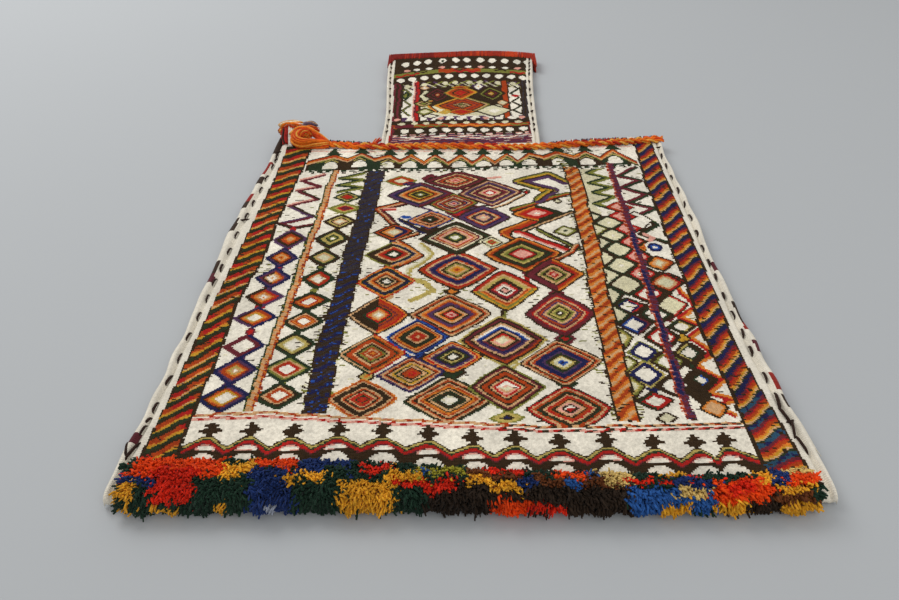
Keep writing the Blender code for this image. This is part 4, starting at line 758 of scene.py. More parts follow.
def dyed_wool(name, code, rib=0.0, spread=0.22, patch=0.16):
    """Handspun wool, dyed in small lots: matt and fibrous, uneven by spread from stitch to stitch
    and by patch from lot to lot. A cloth of it has weft ribs, rib millimetres apart."""
    material = bpy.data.materials.new(name)
    material.use_nodes = True
    tree = material.node_tree
    tree.nodes.clear()
    place = add(tree, "ShaderNodeTexCoord").outputs["Object"]
    stitch, lot, fibre = (
        add(tree, "ShaderNodeTexNoise", Vector=place, Scale=grain, Detail=detail,
            Roughness=rough).outputs["Fac"]
        for grain, detail, rough in (
            (STITCH_GRAIN, 2.0, 0.6), (LOT_GRAIN, 3.0, 0.55), (FIBRE_GRAIN, 2.0, 0.7)))
    # Each of them makes the colour darker and lighter, between two levels of its noise
    tone = None
    for grain, low, high, darkest, lightest in (
        (stitch, 0.3, 0.7, 1 - spread, 1 + spread * 0.7), (lot, 0.3, 0.7, 1 - patch, 1 + patch),
        (fibre, 0.25, 0.75, 0.88, 1.1),
    ):
        level = add(tree, "ShaderNodeMapRange", i0=grain, i1=low, i2=high, i3=darkest,
                    i4=lightest).outputs[0]
        tone = level if tone is None else add(
            tree, "ShaderNodeMath", {"operation": "MULTIPLY"}, i0=tone, i1=level).outputs[0]
    colour = add(tree, "ShaderNodeVectorMath", {"operation": "SCALE"}, i0=linear(code)[:3],
                 Scale=tone).outputs[0]
    height, distance = fibre, FIBRE_DEEP
    if rib:
        # One rib across the cloth to each pass of the shuttle
        wave = add(tree, "ShaderNodeTexWave", {"bands_direction": "Y", "wave_profile": "SIN"},
                   Vector=place, Scale=RIB_WAVE / rib, Distortion=0.8, Detail=2.0).outputs["Fac"]
        height = add(tree, "ShaderNodeMath", {"operation": "MULTIPLY_ADD"}, i0=fibre, i1=0.4,
                     i2=wave).outputs[0]
        distance = RIB_DEEP
    bump = add(tree, "ShaderNodeBump", Strength=0.6, Distance=distance, Height=height).outputs[0]
    rough = add(tree, "ShaderNodeMapRange", i0=fibre, i1=0.2, i2=0.8, i3=0.82, i4=0.98).outputs[0]
    shader = add(tree, "ShaderNodeBsdfPrincipled", Base_Color=colour, Roughness=rough, Normal=bump,
                 IOR=WOOL_IOR, Sheen_Weight=WOOL_SHEEN, Sheen_Roughness=SHEEN_ROUGH,
                 Specular_IOR_Level=WOOL_SHINE)
    add(tree, "ShaderNodeOutputMaterial", Surface=shader.outputs[0])
    return material


def dyed_set(kind, colours, **uneven):
    """One wool for each letter of a set, and the number of each letter."""
    wools = [dyed_wool(name + "_wool_" + kind, code, **uneven) for name, code in colours.values()]
    return wools, {letter: i for i, letter in enumerate(colours)}


# Brocading weft: soft, matt and a little uneven from stitch to stitch, in the motifs' colours
STITCHES, STITCH_NUMBER = dyed_set("stitches", YARNS)
# Ground cloth: weft-faced plain weave with about 1.5 mm from rib to rib. The ivory differs less
# from lot to lot.
GROUND = {
    "I": dyed_wool("ivory_wool_cloth", "#E4DCCB", rib=1.5, spread=0.1, patch=0.1),
    "K": dyed_wool("dark_brown_wool_cloth", "#3B2C22", rib=1.5),
    "R": dyed_wool("madder_wool_cloth", "#8E2A22", rib=1.5),
    "U": dyed_wool("burgundy_wool_cloth", "#5E2A30", rib=1.5),
}
# Sewing yarn: nearly black and uneven, so that it stands out on the white selvedge
SEWING = [dyed_wool("dark_sewing_wool", "#33231C", spread=0.3)]
# Pile: cut ends of thick soft yarn, whose open tips look lighter and darker by turns
PILE, PILE_NUMBER = dyed_set("pile", {
    "A": ("red_orange", "#E8470F"), "Y": ("gold", "#E6A42A"), "N": ("navy", "#1F3468"),
    "G": ("dark_green", "#1E3628"), "U": ("brown", "#6A3A1C"), "L": ("moss", "#A8A030"),
    "K": ("brown_black", "#30241A"), "B": ("blue", "#2C5A9C"), "R": ("madder", "#DC2A12"),
    # The shadowed brown is painted shade, for the bed under the tufts
    "C": ("pale_straw", "#DDBC70"), "D": ("shadowed_brown", "#1C1610"),
    "I": ("pale_grey", "#9AA0AE"),
}, spread=0.3, patch=0.25)
# Cord, tassel and overcast: loosely plied yarn, with lighter and darker places along its turns
CORD, CORD_NUMBER = dyed_set("cord", {
    "O": ("orange", "#DE6C18"), "Y": ("gold", "#DFA044"), "V": ("red_orange", "#C9461A"),
    "T": ("tan", "#D2A878"), "E": ("cream", "#DDD6C6"), "K": ("dark_brown", "#33261C"),
    "P": ("purple", "#776678"), "G": ("green", "#34452E"), "R": ("red", "#A8281C"),
}, spread=0.3, patch=0.22)
# Binding: close turns of red yarn, from dark red to red-orange along the mouth
BINDING, _ = dyed_set("binding", {
    "V": ("red_orange", "#C4421C"), "R": ("red", "#A8301A"), "D": ("dark_red", "#842018"),
}, spread=0.25)


def cord_wool(letters):
    return [CORD_NUMBER[letter] for letter in letters]


# ---- The cloth: face, rolled selvedges, back, and the room between its walls ----

# Shares across each part of the cloth: selvedge, shoulder, neck selvedge, neck, and back again
PART_STEPS = (15, 25, 13, 25, 13, 25, 15)
COLUMNS = [(part, share) for part, steps in enumerate(PART_STEPS)
           for share in np.linspace(0, 1, steps)[(0 if part == 0 else 1):]]
NECK_COLUMNS = [i for i, (part, share) in enumerate(COLUMNS)
                if 2 <= part <= 4 or (part == 1 and share == 1)]
# Height at which the neck's columns are evened out
NECK_AT = 200.0


def across(y, inset):
    """X of every column at heights y (rows, columns), with the rims drawn in by inset."""
    left, right = LEFT_EDGE(y) + inset, RIGHT_EDGE(y) - inset
    neck_left, neck_right = LEFT_NECK(y) + inset, RIGHT_NECK(y) - inset
    lines = [left, np.maximum(LEFT_BAND(y), left + 1),
             neck_left, LEFT_NECK(y) + NECK_STRIP + inset * 0.5,
             RIGHT_NECK(y) - NECK_STRIP - inset * 0.5, neck_right,
             np.minimum(RIGHT_BAND(y), right - 1), right]
    x = np.empty(y.shape)
    for i, (part, share) in enumerate(COLUMNS):
        x[:, i] = lines[part][:, i] * (1 - share) + lines[part + 1][:, i] * share
    return x


def rows(count, low_strip, high_strip):
    """Shares along the cloth, closer together where its edge turns."""
    ends = np.array([0, 0.08, 0.3, 0.6])
    middle = np.linspace(low_strip, 1 - high_strip, count)
    return np.concatenate([ends * low_strip, middle, 1 - ends[::-1] * high_strip])


def walls(inset, margin, count):
    """X and y of one shell of the bag, as grids of body and neck."""
    t = rows(count, 0.018, 0.014)[:, None] * np.ones(len(COLUMNS))
    x = across(-374 + t * 480, inset)
    # Each of x and y depends on the other: three rounds settle them
    for _ in range(3):
        low, high = FOOT(x) + margin, SHOULDER(x) - inset
        y = low + t * (high - low)
        x = across(y, inset)

    def shares(line):
        return (line - line[0]) / (line[-1] - line[0])

    # The neck starts from the body's last row, and its columns even out over its first quarter
    u = rows(count // 2, 0.02, 0.02)[1:, None] * np.ones(len(NECK_COLUMNS))
    start = np.clip(u * 4, 0, 1)
    even = shares(across(np.full((1, len(COLUMNS)), NECK_AT), inset)[0, NECK_COLUMNS])
    first = shares(x[-1, NECK_COLUMNS])
    low = y[-1, NECK_COLUMNS]
    neck_x = x[-1, NECK_COLUMNS] * np.ones(u.shape)
    for _ in range(3):
        neck_y = low + u * (MOUTH(neck_x) - low)
        left, right = LEFT_NECK(neck_y) + inset, RIGHT_NECK(neck_y) - inset
        neck_x = left + (first * (1 - start) + even * start) * (right - left)
    return (x, y), (neck_x, neck_y)


def outer_heights(x, y, neck):
    """Heights of the face and of the back, with their rolled and rounded edges."""
    if neck:
        shares = np.minimum(x - LEFT_NECK(y), RIGHT_NECK(y) - x) / NECK_STRIP
    else:
        shares = np.minimum((x - LEFT_EDGE(y)) / (LEFT_BAND(y) - LEFT_EDGE(y)),
                            (RIGHT_EDGE(y) - x) / (RIGHT_EDGE(y) - RIGHT_BAND(y)))
    shares = np.clip(shares, 0, 1)
    # The roll swells and shrinks a little along its length
    swell = 0.55 * np.sin(y / 8.3 + 1.5 * np.sin(y / 29)) * (shares > 0.02) * (shares < 0.45)
    face = ground(x, y) + SELVEDGE(shares) + swell
    # How far the back's edges lift off the floor
    lift = 3.4
    back = lift * (1 - near(shares, 0, 0.3)) ** 1.5
    if not neck:
        foot = np.clip((y - FOOT(x)) / FOOT_STRIP, 0, 1)
        face = face - (1 - np.sqrt(1 - (1 - foot) ** 2)) * 5.0
        back = back + (1 - near(foot, 0, 0.6)) * lift
        shoulder = np.clip((SHOULDER(x) - y) / SHOULDER_STRIP, 0, 1)
        outside = near(LEFT_NECK(y) - x, -1, 1) + near(x - RIGHT_NECK(y), -1, 1)
        face = face - (1 - np.sqrt(1 - (1 - shoulder) ** 2)) * 4.2 * outside
        back = back + (1 - near(shoulder, 0, 0.5)) * lift * outside
    # No edge is thinner than 2.2 mm
    face = np.maximum(face, 2.6)
    return face, np.clip(back, 0, face - 2.2)


def numbered(shape, start):
    return np.arange(start, start + shape[0] * shape[1]).reshape(shape)


def squares(grid):
    return np.stack([grid[:-1, :-1], grid[:-1, 1:], grid[1:, 1:], grid[1:, :-1]], -1).reshape(-1, 4)


def ribbon(a, b):
    return np.stack([a[:-1], a[1:], b[1:], b[:-1]], -1)


def shell(inset, margin, levels, count, start):
    """Points and face groups of one closed-off shell, and its ring of points at the mouth. The
    outer shell has no levels; the room's shell has its top and its bottom."""
    (x, y), (neck_x, neck_y) = walls(inset, margin, count)
    if levels is None:
        face, back = outer_heights(x, y, False)
        # Its rims bulge and draw in, where the sewing pulls
        last_part = len(PART_STEPS) - 1
        rim = np.array([(1 - share if part == 0 else 0) - (share if part == last_part else 0)
                        for part, share in COLUMNS])
        x = x + rim * 1.1 * (np.sin(y / 10.5 + 2 * np.sin(y / 41)) + 1)
        neck_face, neck_back = outer_heights(neck_x, neck_y, True)
    else:
        top, floor = levels
        face, back = ground(x, y) - (FACE_LEVEL - top), np.full(x.shape, floor)
        neck_face = ground(neck_x, neck_y) - (FACE_LEVEL - top)
        neck_back = np.full(neck_x.shape, floor)
    grids, points = [], []
    for gx, gy, gz in ((x, y, face), (x, y, back), (neck_x, neck_y, neck_face),
                       (neck_x, neck_y, neck_back)):
        grids.append(numbered(gx.shape, start))
        points.append(np.stack([gx, gy, gz], -1).reshape(-1, 3))
        start += gx.size
    body_face, body_back, neck_face, neck_back = grids
    neck_face = np.vstack([body_face[-1, NECK_COLUMNS], neck_face])
    neck_back = np.vstack([body_back[-1, NECK_COLUMNS], neck_back])
    first, last = NECK_COLUMNS[0], NECK_COLUMNS[-1]
    face = np.concatenate([squares(body_face), squares(neck_face)])
    back = np.concatenate([squares(body_back), squares(neck_back)])
    rim = np.concatenate([ribbon(front, rear) for front, rear in (
        (body_face[:, 0], body_back[:, 0]), (body_face[:, -1], body_back[:, -1]),
        (body_face[0], body_back[0]), (body_face[-1, :first + 1], body_back[-1, :first + 1]),
        (body_face[-1, last:], body_back[-1, last:]), (neck_face[:, 0], neck_back[:, 0]),
        (neck_face[:, -1], neck_back[:, -1]))])
    mouth = np.concatenate([neck_face[-1], neck_back[-1, ::-1]])
    return np.concatenate(points), (face, back, rim), mouth, start


# Marks on the rims, as the photograph shows them: from and to up the bag, and yarn
LEFT_RIM = [
    (-316, -306, "U"), (-141, -126, "U"), (-126, -110, "K"), (-60, -39, "K"), (-22, -8, "K"),
    (-8, 8, "R"), (27, 40, "K"), (47, 74, "R"), (90, 121, "K"), (121, 150, "R"),
]
RIGHT_RIM = [
    (-300, -287, "K"), (-285, -269, "R"), (-247, -234, "U"), (-220, -210, "R"), (-210, -186, "K"),
    (-142, -130, "U"),
]
# The back can't be seen. Cross stripes that carry the rims' marks across it are a guess.
BACK_STRIPES = [
    (-316, -306, "U"), (-300, -285, "K"), (-285, -269, "R"), (-247, -232, "U"), (-222, -208, "R"),
    (-206, -184, "K"), (-143, -128, "U"), (-124, -108, "K"), (-22, -8, "K"), (-8, 8, "R"),
    (29, 41, "K"), (50, 76, "R"), (96, 121, "K"), (121, 140, "R"), (165, 178, "K"), (210, 228, "R"),
    (256, 262, "K"), (262, 284, "U"), (310, 336, "R"),
]
LEFT_RIM_WIDE, RIGHT_RIM_WIDE = 8.2, 6.4


def make_cloth():
    """The bag's whole cloth, as one closed shell round the room inside, open at the mouth."""
    points, (face, back, rim), mouth, start = shell(0.0, 0.0, None, 110, 0)
    room_points, room, room_mouth, _ = shell(
        POCKET_INSET, FOOT_STRIP + POCKET_MARGIN, (POCKET_TOP, POCKET_FLOOR), 36, start)
    lip = ribbon(np.append(mouth, mouth[0]), np.append(room_mouth, room_mouth[0]))
    faces = np.concatenate([face, back, rim, *room, lip])
    points = np.concatenate([points, room_points])
    x, y = points[faces].mean(1)[:, :2].T
    order = np.arange(len(faces))
    outer = order < len(face) + len(back) + len(rim)
    left_rim = outer & (x - LEFT_EDGE(y) < LEFT_RIM_WIDE)
    right_rim = outer & (RIGHT_EDGE(y) - x < RIGHT_RIM_WIDE)
    rear = outer & (order >= len(face)) & ~left_rim & ~right_rim
    wool = np.zeros(len(faces), int)
    for where, stripes in ((rear, BACK_STRIPES), (left_rim, LEFT_RIM), (right_rim, RIGHT_RIM)):
        for low, high, letter in stripes:
            wool[where & between(y, low, high)] = list(GROUND).index(letter)
    cloth = add_piece("bag_cloth", points, [faces], GROUND.values(), wool,
                      ["woven_bag"])
    shape = bmesh.new()
    shape.from_mesh(cloth.data)
    bmesh.ops.recalc_face_normals(shape, faces=shape.faces)
    shape.to_mesh(cloth.data)
    shape.free()
    return cloth


# ---- The brocade: one small roof of yarn for every stitch ----

def brocade(x_range, y_range, inside, weave, pieces):
    """Wrapped stitches on one lattice, cut into pieces: a coloured stitch is a small pyramid of
    yarn, and the ivory ground lies low between them. The rows lean left and right by turns, as in
    soumak."""
    xs = np.arange(x_range[0], x_range[1] + STITCH_WIDE / 2, STITCH_WIDE)
    ys = np.arange(y_range[0], y_range[1] + STITCH_HIGH / 2, STITCH_HIGH)
    cx, cy = np.meshgrid(xs[:-1] + STITCH_WIDE / 2, ys[:-1] + STITCH_HIGH / 2)
    yarn = weave(cx, cy)
    kept = inside(cx, cy)
    raised = yarn != STITCH_NUMBER["I"]
    # Stitches round each corner of the lattice, and how many of them are raised
    share, around = np.zeros((2, len(ys), len(xs)))
    for dy in (0, 1):
        for dx in (0, 1):
            corner = np.s_[dy:len(ys) - 1 + dy, dx:len(xs) - 1 + dx]
            share[corner] += raised & kept
            around[corner] += kept
    px, py = np.meshgrid(xs, ys)
    lean = 0.3 * STITCH_WIDE * (np.arange(len(ys)) % 2 - 0.5)[:, None]
    px = px + lean + rng.normal(0, 0.1, px.shape)
    py = py + rng.normal(0, 0.08, py.shape)
    # Corners lie 0.12 mm over the cloth, rise by 0.45 among raised stitches and sink at the edge
    low, rise = 0.12, 0.45
    pz = ground(px, py) + low + rise * share / np.maximum(around, 1)
    pz = pz + rng.normal(0, 0.05, px.shape) - rise * (around < 4)
    corners = np.stack([px, py, pz], -1).reshape(-1, 3)
    index = numbered(px.shape, 0)
    made = []
    for name, left, right in pieces:
        row, col = np.nonzero(kept & between(cx, left, right))
        ring = np.stack([index[row, col], index[row, col + 1], index[row + 1, col + 1],
                         index[row + 1, col]], -1)
        up, number = raised[row, col], yarn[row, col]
        tips = corners[ring[up]].mean(1)
        tips[:, 2] += rng.uniform(0.4, 0.62, len(tips))
        tips[:, 0] += rng.normal(0, 0.12, len(tips))
        tip = len(corners) + np.arange(len(tips))
        sides = np.stack([ring[up], np.roll(ring[up], -1, 1), np.repeat(tip[:, None], 4, 1)], -1)
        sides = sides.reshape(-1, 3)
        points = np.concatenate([corners, tips])
        used = np.unique(np.concatenate([sides.ravel(), ring[~up].ravel()]))
        renumber = np.zeros(len(points), np.int32)
        renumber[used] = np.arange(len(used))
        wool = np.concatenate([np.repeat(number[up], 4), number[~up]])
        made.append(add_piece(name, points[used],
                              [renumber[sides], renumber[ring[~up]]], STITCHES, wool,
                              smooth=False, flat=True))
    return made


def between_neck_strips(x, y):
    return between(x, LEFT_NECK(y) + NECK_STRIP, RIGHT_NECK(y) - NECK_STRIP)


def on_face(x, y):
    """Where the body's brocade is: up to the cord, and under the neck up to the neck's own."""
    top = np.where(between_neck_strips(x, y), 103, SHOULDER(x) - 5)
    return between(x, LEFT_BAND(y), RIGHT_BAND(y)) & between(y, FOOT(x) + 9, top)


def on_neck(x, y):
    return between_neck_strips(x, y) & (y < MOUTH(x) - 4)


def make_brocade():
    body = brocade((-250, 250), (-366.2, 131.6), on_face, woven_body, [
        ("brocade_left_panel", -260, -93.2), ("brocade_field", -93.2, 107.6),
        ("brocade_right_panel", 107.6, 260)])
    neck = brocade((-90, 124), (103.6, 380), on_neck, woven_neck, [("brocade_neck", -120, 140)])
    return body + neck


# ---- Sewing, cord, pile, tassel and binding ----

# The groove of a selvedge, where the sewing lies, by its share of the strip from rim to brocade
GROOVE = 0.535
# Stitches: height, lean and length, with how far a loose one lies beside the groove
LEFT_MARKS = [(y, 0.3, 10.5) for y in (
    88, 66, 42, 18, -8, -32, -65, -92, -117, -138, -160, -183, -208, -232, -256, -283, -305,
)] + [
    (-322, -2.2, 14, -4.2), (-323, 2.8, 15, 1.0), (-41, 8.0, 3), (94, 4.5, 3.5), (79, 1.5, 6),
    (-296, 1.0, 6),
]
RIGHT_MARKS = [(y, 0.3, 10.5) for y in (
    67, 45, 20, -5, -32, -56, -83, -107, -129, -150, -176, -200, -222, -242, -270,
)] + [
    (-295, 2.0, 18, -1.5), (-308, -1.6, 16, -2.5), (-320, 2.2, 17, -2.0), (-333, -1.4, 17, -3.0),
    (-313, 5.5, 3), (85, 5.0, 2.5),
]
LEFT_NECK_MARKS = [
    (346, 1.2, 7), (334, -1.5, 5), (318, 0.5, 8), (297, 1.8, 5), (283, -1.0, 9), (262, 2.6, 2.5),
    (241, 0.4, 6), (219, -1.6, 4), (196, 0.8, 8), (171, 2.8, 3), (156, -1.0, 7), (141, 1.5, 4),
]
RIGHT_NECK_MARKS = [
    (350, -1.5, 8), (338, 1.0, 9), (326, -0.6, 9), (314, 1.2, 8), (301, 0.5, 9), (276, -1.8, 5),
    (252, 0.6, 6), (233, 2.4, 3), (208, -0.8, 7), (186, 1.5, 4), (166, 0.5, 9), (150, -1.4, 7),
    (136, 1.6, 5),
]


def left_groove(y):
    return LEFT_EDGE(y) + GROOVE * (LEFT_BAND(y) - LEFT_EDGE(y))


def right_groove(y):
    return RIGHT_EDGE(y) - GROOVE * (RIGHT_EDGE(y) - RIGHT_BAND(y))


def left_neck_groove(y):
    return LEFT_NECK(y) + 5.3


def right_neck_groove(y):
    return RIGHT_NECK(y) - 5.3


def make_seam(name, node, line, marks, width):
    """Running stitches of dark yarn that come up out of the selvedge's groove."""
    paths, sizes = [], []
    t = np.linspace(-1, 1, 9)
    for y, lean, length, *aside in marks:
        along = y + t * length / 2
        x = line(along) + (lean + rng.normal(0, 0.5)) * t + rng.normal(0, 0.4) + sum(aside)
        # Both ends dip 1.7 mm into the groove
        z = ground(x, along) - 1.7 + 2.3 * (1 - t ** 4) + 1.2 * bool(aside)
        paths.append(np.stack([x, along, z], -1))
        sizes.append(rng.uniform(0.85, 1.2) * width * (1.15 if aside else 1))
    stitches = yarns(paths, sizes, 7, (0.5, 1, 1, 1, 0.5))
    add_yarns(name, [(stitches, 0)], SEWING, [node])


# The roll of the pile's fold: the shares of it that lie on the face and turn down to the floor, and
# its radius
ON_FACE, TURNED, ROLL = 0.55, 0.45, 9.5
# Real knots are finer and more: this is as many as the limit on triangles leaves
TUFTS_A_SIDE = 9700
# Locks of the pile: width across the bag, and number down the roll
LOCK_WIDE, LOCKS_DOWN = 4.6, 10
# How far the tufts may reach: sides, foot and height
PILE_SIDES, PILE_FOOT, PILE_HEIGHTS = (-243, 234), -384, (1.0, 24.0)


def pile_bed(x, share):
    """The fold that the knots sit on: place and height across the roll, by share from its top edge
    to the floor, with the way its surface faces. Its top edge is 5.8 mm higher at the left."""
    edge, foot = PILE_EDGE(x) - 2.2 - 5.8 * near(x, -110, 60), FOOT(x) - 3.0
    turn = np.clip((share - ON_FACE) / TURNED, 0, 1)
    angle = turn * 1.9
    run = np.clip(share / ON_FACE, 0, 1)
    y = edge + (foot + ROLL - edge) * run - ROLL * np.sin(angle)
    z = FACE_LEVEL - 0.2 + 6.2 * np.sin(run * 2.0) - 9.6 * (1 - np.cos(angle))
    tilt = angle * 0.86 + 0.54
    out_y = np.where(turn > 0, -np.sin(tilt), -0.18 - 0.42 * run ** 2)
    out_z = np.where(turn > 0, np.cos(tilt), 1.0)
    return y, np.maximum(z, 1.2), out_y, out_z


def pile_tufts(low, high, count):
    """Soft tufts that stand off the fold, gather in locks and droop at their tips."""
    x, share = rng.uniform(low, high, count), rng.uniform(0.0, 1.0, count)
    y, z, out_y, out_z = pile_bed(x, share)
    root = np.stack([x, y, z], -1)
    end = near(x, -229, -235) * -0.9 + near(x, 220, 226) * 0.9
    out = np.stack([end + 0.1 * np.sin(x / 9), out_y, out_z], -1)
    out /= np.linalg.norm(out, axis=1, keepdims=True)
    # Tips are drawn to the middles of their locks
    cell_x = np.round(x / LOCK_WIDE + 0.5 * np.sin(share * 21))
    cell_s = np.round(share * LOCKS_DOWN + 0.5 * np.sin(x / 3.3))
    lock = chance(cell_x, cell_s, 12.9898, 78.233)
    lock_x = cell_x * LOCK_WIDE - x + 3.0 * (lock - 0.5)
    lock_y = (cell_s - share * LOCKS_DOWN) * -4.5
    sway = np.stack([lock_x, np.clip(lock_y, -3, 3), 0 * x], -1)[:, None] * 0.5
    # Tufts are shorter at the top edge and near the floor
    length = rng.uniform(3.9, 6.0, count) * (0.8 + 0.35 * lock)
    length = length * (1 - 0.3 * near(share, 0.1, 0)) * (1 - 0.45 * near(share, 0.8, 1))
    s = np.linspace(0, 1, 3)[None, :, None]
    wild = rng.normal(0, 1, (count, 1, 3)) * np.array([0.34, 0.3, 0.2])
    curl = rng.normal(0, 1, (count, 1, 3)) * 0.9 * np.sin(s * 3.1)
    droop = np.array([0, 0.1, 0.16]) * s ** 2
    paths = root[:, None] + length[:, None, None] * (out[:, None] * s + wild * s - droop)
    paths += sway * s ** 1.3 + curl
    paths[..., 2] = np.clip(paths[..., 2], *PILE_HEIGHTS)
    paths[..., 1] = np.maximum(paths[..., 1], PILE_FOOT)
    paths[..., 0] = np.clip(paths[..., 0], *PILE_SIDES)
    number = np.array([PILE_NUMBER[k] for k in pile_colour(*paths[:, -1].T)])
    return yarns(paths, rng.uniform(0.75, 1.2, count), 3, (1.1, 1.0, 0.7)), number


def pile_ground(low, high):
    """A bed under the tufts, which fills the fold: its dark colour is painted shade."""
    x, share = np.meshgrid(np.linspace(low - 1.5, high + 1.5, 60), np.linspace(-0.02, 1, 15),
                           indexing="ij")
    y, z, _, _ = pile_bed(x, np.clip(share, 0, 1))
    z = np.where(share < 0, z - 2, z)
    bed = np.stack([x, y, z], -1)
    under = np.stack([x, y, np.full(x.shape, 0.4)], -1)
    grid, flat = numbered(x.shape, 0), numbered(x.shape, x.size)
    faces = np.concatenate([squares(grid), squares(flat)[:, ::-1], ribbon(flat[0], grid[0]),
                            ribbon(grid[-1], flat[-1]), ribbon(grid[:, 0], flat[:, 0]),
                            ribbon(flat[:, -1], grid[:, -1])])
    return (np.concatenate([bed, under]).reshape(-1, 3), [faces], 1), PILE_NUMBER["D"]


def make_pile(name, low, high):
    """Knots of cut wool, packed over the fold."""
    parts = [pile_tufts(low, high, TUFTS_A_SIDE), pile_ground(low, high)]
    add_yarns(name, parts, PILE, ["pile_band"])


# Patches of the pile, one over another: from and to across the bag, from and to down the roll as
# the eye meets it from over the foot
PILE_PATCHES = [
    (-260, 12, 0, 1, "G"), (12, 115, 0, 1, "K"), (115, 160, 0, 1, "G"), (160, 250, 0, 1, "K"),
    (-184, -150, 0.3, 1, "G"), (-30, 12, 0.3, 1, "K"), (-250, -214, 0.2, 0.4, "N"),
    (-236, -170, 0, 0.28, "A"), (-216, -186, 0.15, 0.8, "R"), (-246, -236, 0.25, 0.33, "R"),
    (-241, -227, 0.4, 0.75, "Y"), (-238, -228, 0.82, 1, "Y"), (-215, -209, 0.83, 0.95, "Y"),
    (-208, -199, 0.88, 1, "Y"), (-172, -165, 0.78, 0.97, "Y"), (-170, -149, 0.05, 0.32, "Y"),
    (-150, -121, 0, 0.12, "A"), (-149, -119, 0.14, 1, "N"), (-119, -82, 0, 0.3, "N"),
    (-100, -84, 0.1, 0.3, "G"), (-126, -100, 0.22, 0.4, "Y"), (-120, -112, 0.26, 0.36, "G"),
    (-136, -130, 0.82, 0.98, "I"), (-88, -51, 0.34, 0.97, "Y"), (-76, -55, 0.04, 0.2, "R"),
    (-55, -30, 0.16, 0.34, "Y"), (-54, -28, 0.34, 0.46, "R"), (-30, -9, 0.3, 0.54, "R"),
    (-38, -2, 0.05, 0.2, "L"), (-34, -26, 0.1, 0.2, "B"), (-2, 12, 0.04, 0.24, "U"),
    (12, 34, 0, 0.14, "R"), (12, 34, 0.14, 0.26, "U"), (-4, 14, 0.22, 0.4, "Y"),
    (14, 31, 0.32, 0.5, "Y"), (34, 58, 0.05, 0.22, "G"), (32, 43, 0.22, 0.47, "N"),
    (56, 80, 0.06, 0.22, "A"), (45, 106, 0.22, 0.42, "U"), (62, 72, 0.24, 0.42, "B"),
    (80, 88, 0, 0.18, "B"), (88, 111, 0.02, 0.36, "C"), (108, 138, 0.05, 0.36, "G"),
    (103, 121, 0.2, 0.31, "R"), (104, 162, 0.38, 0.92, "B"), (125, 143, 0.74, 1, "Y"),
    (135, 157, 0.38, 0.6, "C"), (135, 159, 0.18, 0.38, "N"), (126, 135, 0.2, 0.31, "R"),
    (128, 145, 0.02, 0.15, "Y"), (145, 153, 0.04, 0.18, "R"), (154, 193, 0, 0.2, "G"),
    (159, 199, 0.2, 0.72, "A"), (168, 188, 0.26, 0.5, "R"), (161, 182, 0.7, 0.95, "Y"),
    (192, 200, 0.02, 0.36, "Y"), (200, 211, 0, 0.42, "N"), (211, 240, 0, 0.17, "C"),
    (210, 241, 0.17, 0.38, "A"), (203, 230, 0.38, 0.54, "Y"), (225, 241, 0.44, 0.76, "G"),
    (200, 226, 0.54, 0.76, "U"), (203, 238, 0.76, 0.98, "Y"), (12, 40, 0.68, 1, "A"),
    (36, 64, 0.78, 0.96, "R"),
]


def pile_colour(x, y, z):
    """Yarn of a tuft by where its tip shows, seen from over the foot and 60 degrees up."""
    lean, upright = 0.866, 0.5
    top, floor = (PILE_EDGE(x) - 5) * lean + 8, (FOOT(x) - 9) * lean
    stray = rng.random(x.shape) < 0.1
    ragged = rng.normal(0, 0.02, x.shape) * (1 + 3 * stray)
    down = (top - y * lean - z * upright) / (top - floor) + ragged
    down += 0.03 * np.sin(x / 3.1) + 0.025 * np.sin(x / 7.7 + 2)
    place = x + rng.normal(0, 0.8, x.shape) * (1 + 5 * stray)
    place = place + 2.0 * np.sin(down * 19 + x / 15) + 0.8 * np.sin(down * 47)
    picked = np.full(x.shape, "G")
    for left, right, head, foot, letter in PILE_PATCHES:
        # A patch from 0 or to 1 also takes the tufts beyond
        rows_of_it = between(down, head or -1, foot + (foot == 1))
        picked[between(place, left, right) & rows_of_it] = letter
    return picked


def cord_point(s):
    """Place on the shoulder's cord line, by length from its left end, the direction there, and the
    line's whole length."""
    fine = np.linspace(CORD_LINE[0][0], CORD_LINE[-1][0], 400)
    line = curve(CORD_LINE)(fine)
    length = np.concatenate([[0], np.cumsum(np.hypot(np.diff(fine), np.diff(line)))])
    x, y = np.interp(s, length, fine), np.interp(s, length, line)
    dx, dy = np.interp(s, length, np.gradient(fine)), np.interp(s, length, np.gradient(line))
    size = np.hypot(dx, dy)
    return x, y, dx / size, dy / size, length[-1]


def make_braid():
    """A flat plait of three strands, each of three soft yarns."""
    turn, twist_turn = 27, 130
    total = cord_point(0.0)[4]
    s = np.linspace(-2, total + 1, 240)
    x, y, dx, dy, _ = cord_point(np.clip(s, 0, total))
    grow = 1 + 0.12 * near(s, total - 90, total)
    beads = (0.8,) + (1, 0.9, 1.05, 0.95) * 8 + (0.8,)
    parts = []
    for strand, letters in enumerate(("OOY", "VOR", "OYV")):
        phase = 2 * np.pi * (s / turn + strand / 3) + 0.7 * np.sin(s / 19)
        side, rise = 3.0 * np.sin(phase), 1.2 * np.sin(2 * phase)
        for ply, number in enumerate(cord_wool(letters)):
            twist = 2 * np.pi * (s / twist_turn + ply / 3)
            wander = 0.6 * np.sin(s / 5.3 + 2 * ply + strand)
            off = (side + 1.25 * np.cos(twist)) * grow + wander
            z = ground(x, y) + 2.7 + rise + 1.0 * np.sin(twist) + 0.3 * wander
            path = np.stack([x - dy * off, y + dx * off, z], -1)
            parts.append((yarns([path], [1.3], 6, beads), number))
    add_yarns("shoulder_plait", parts, CORD, ["shoulder_braid"])


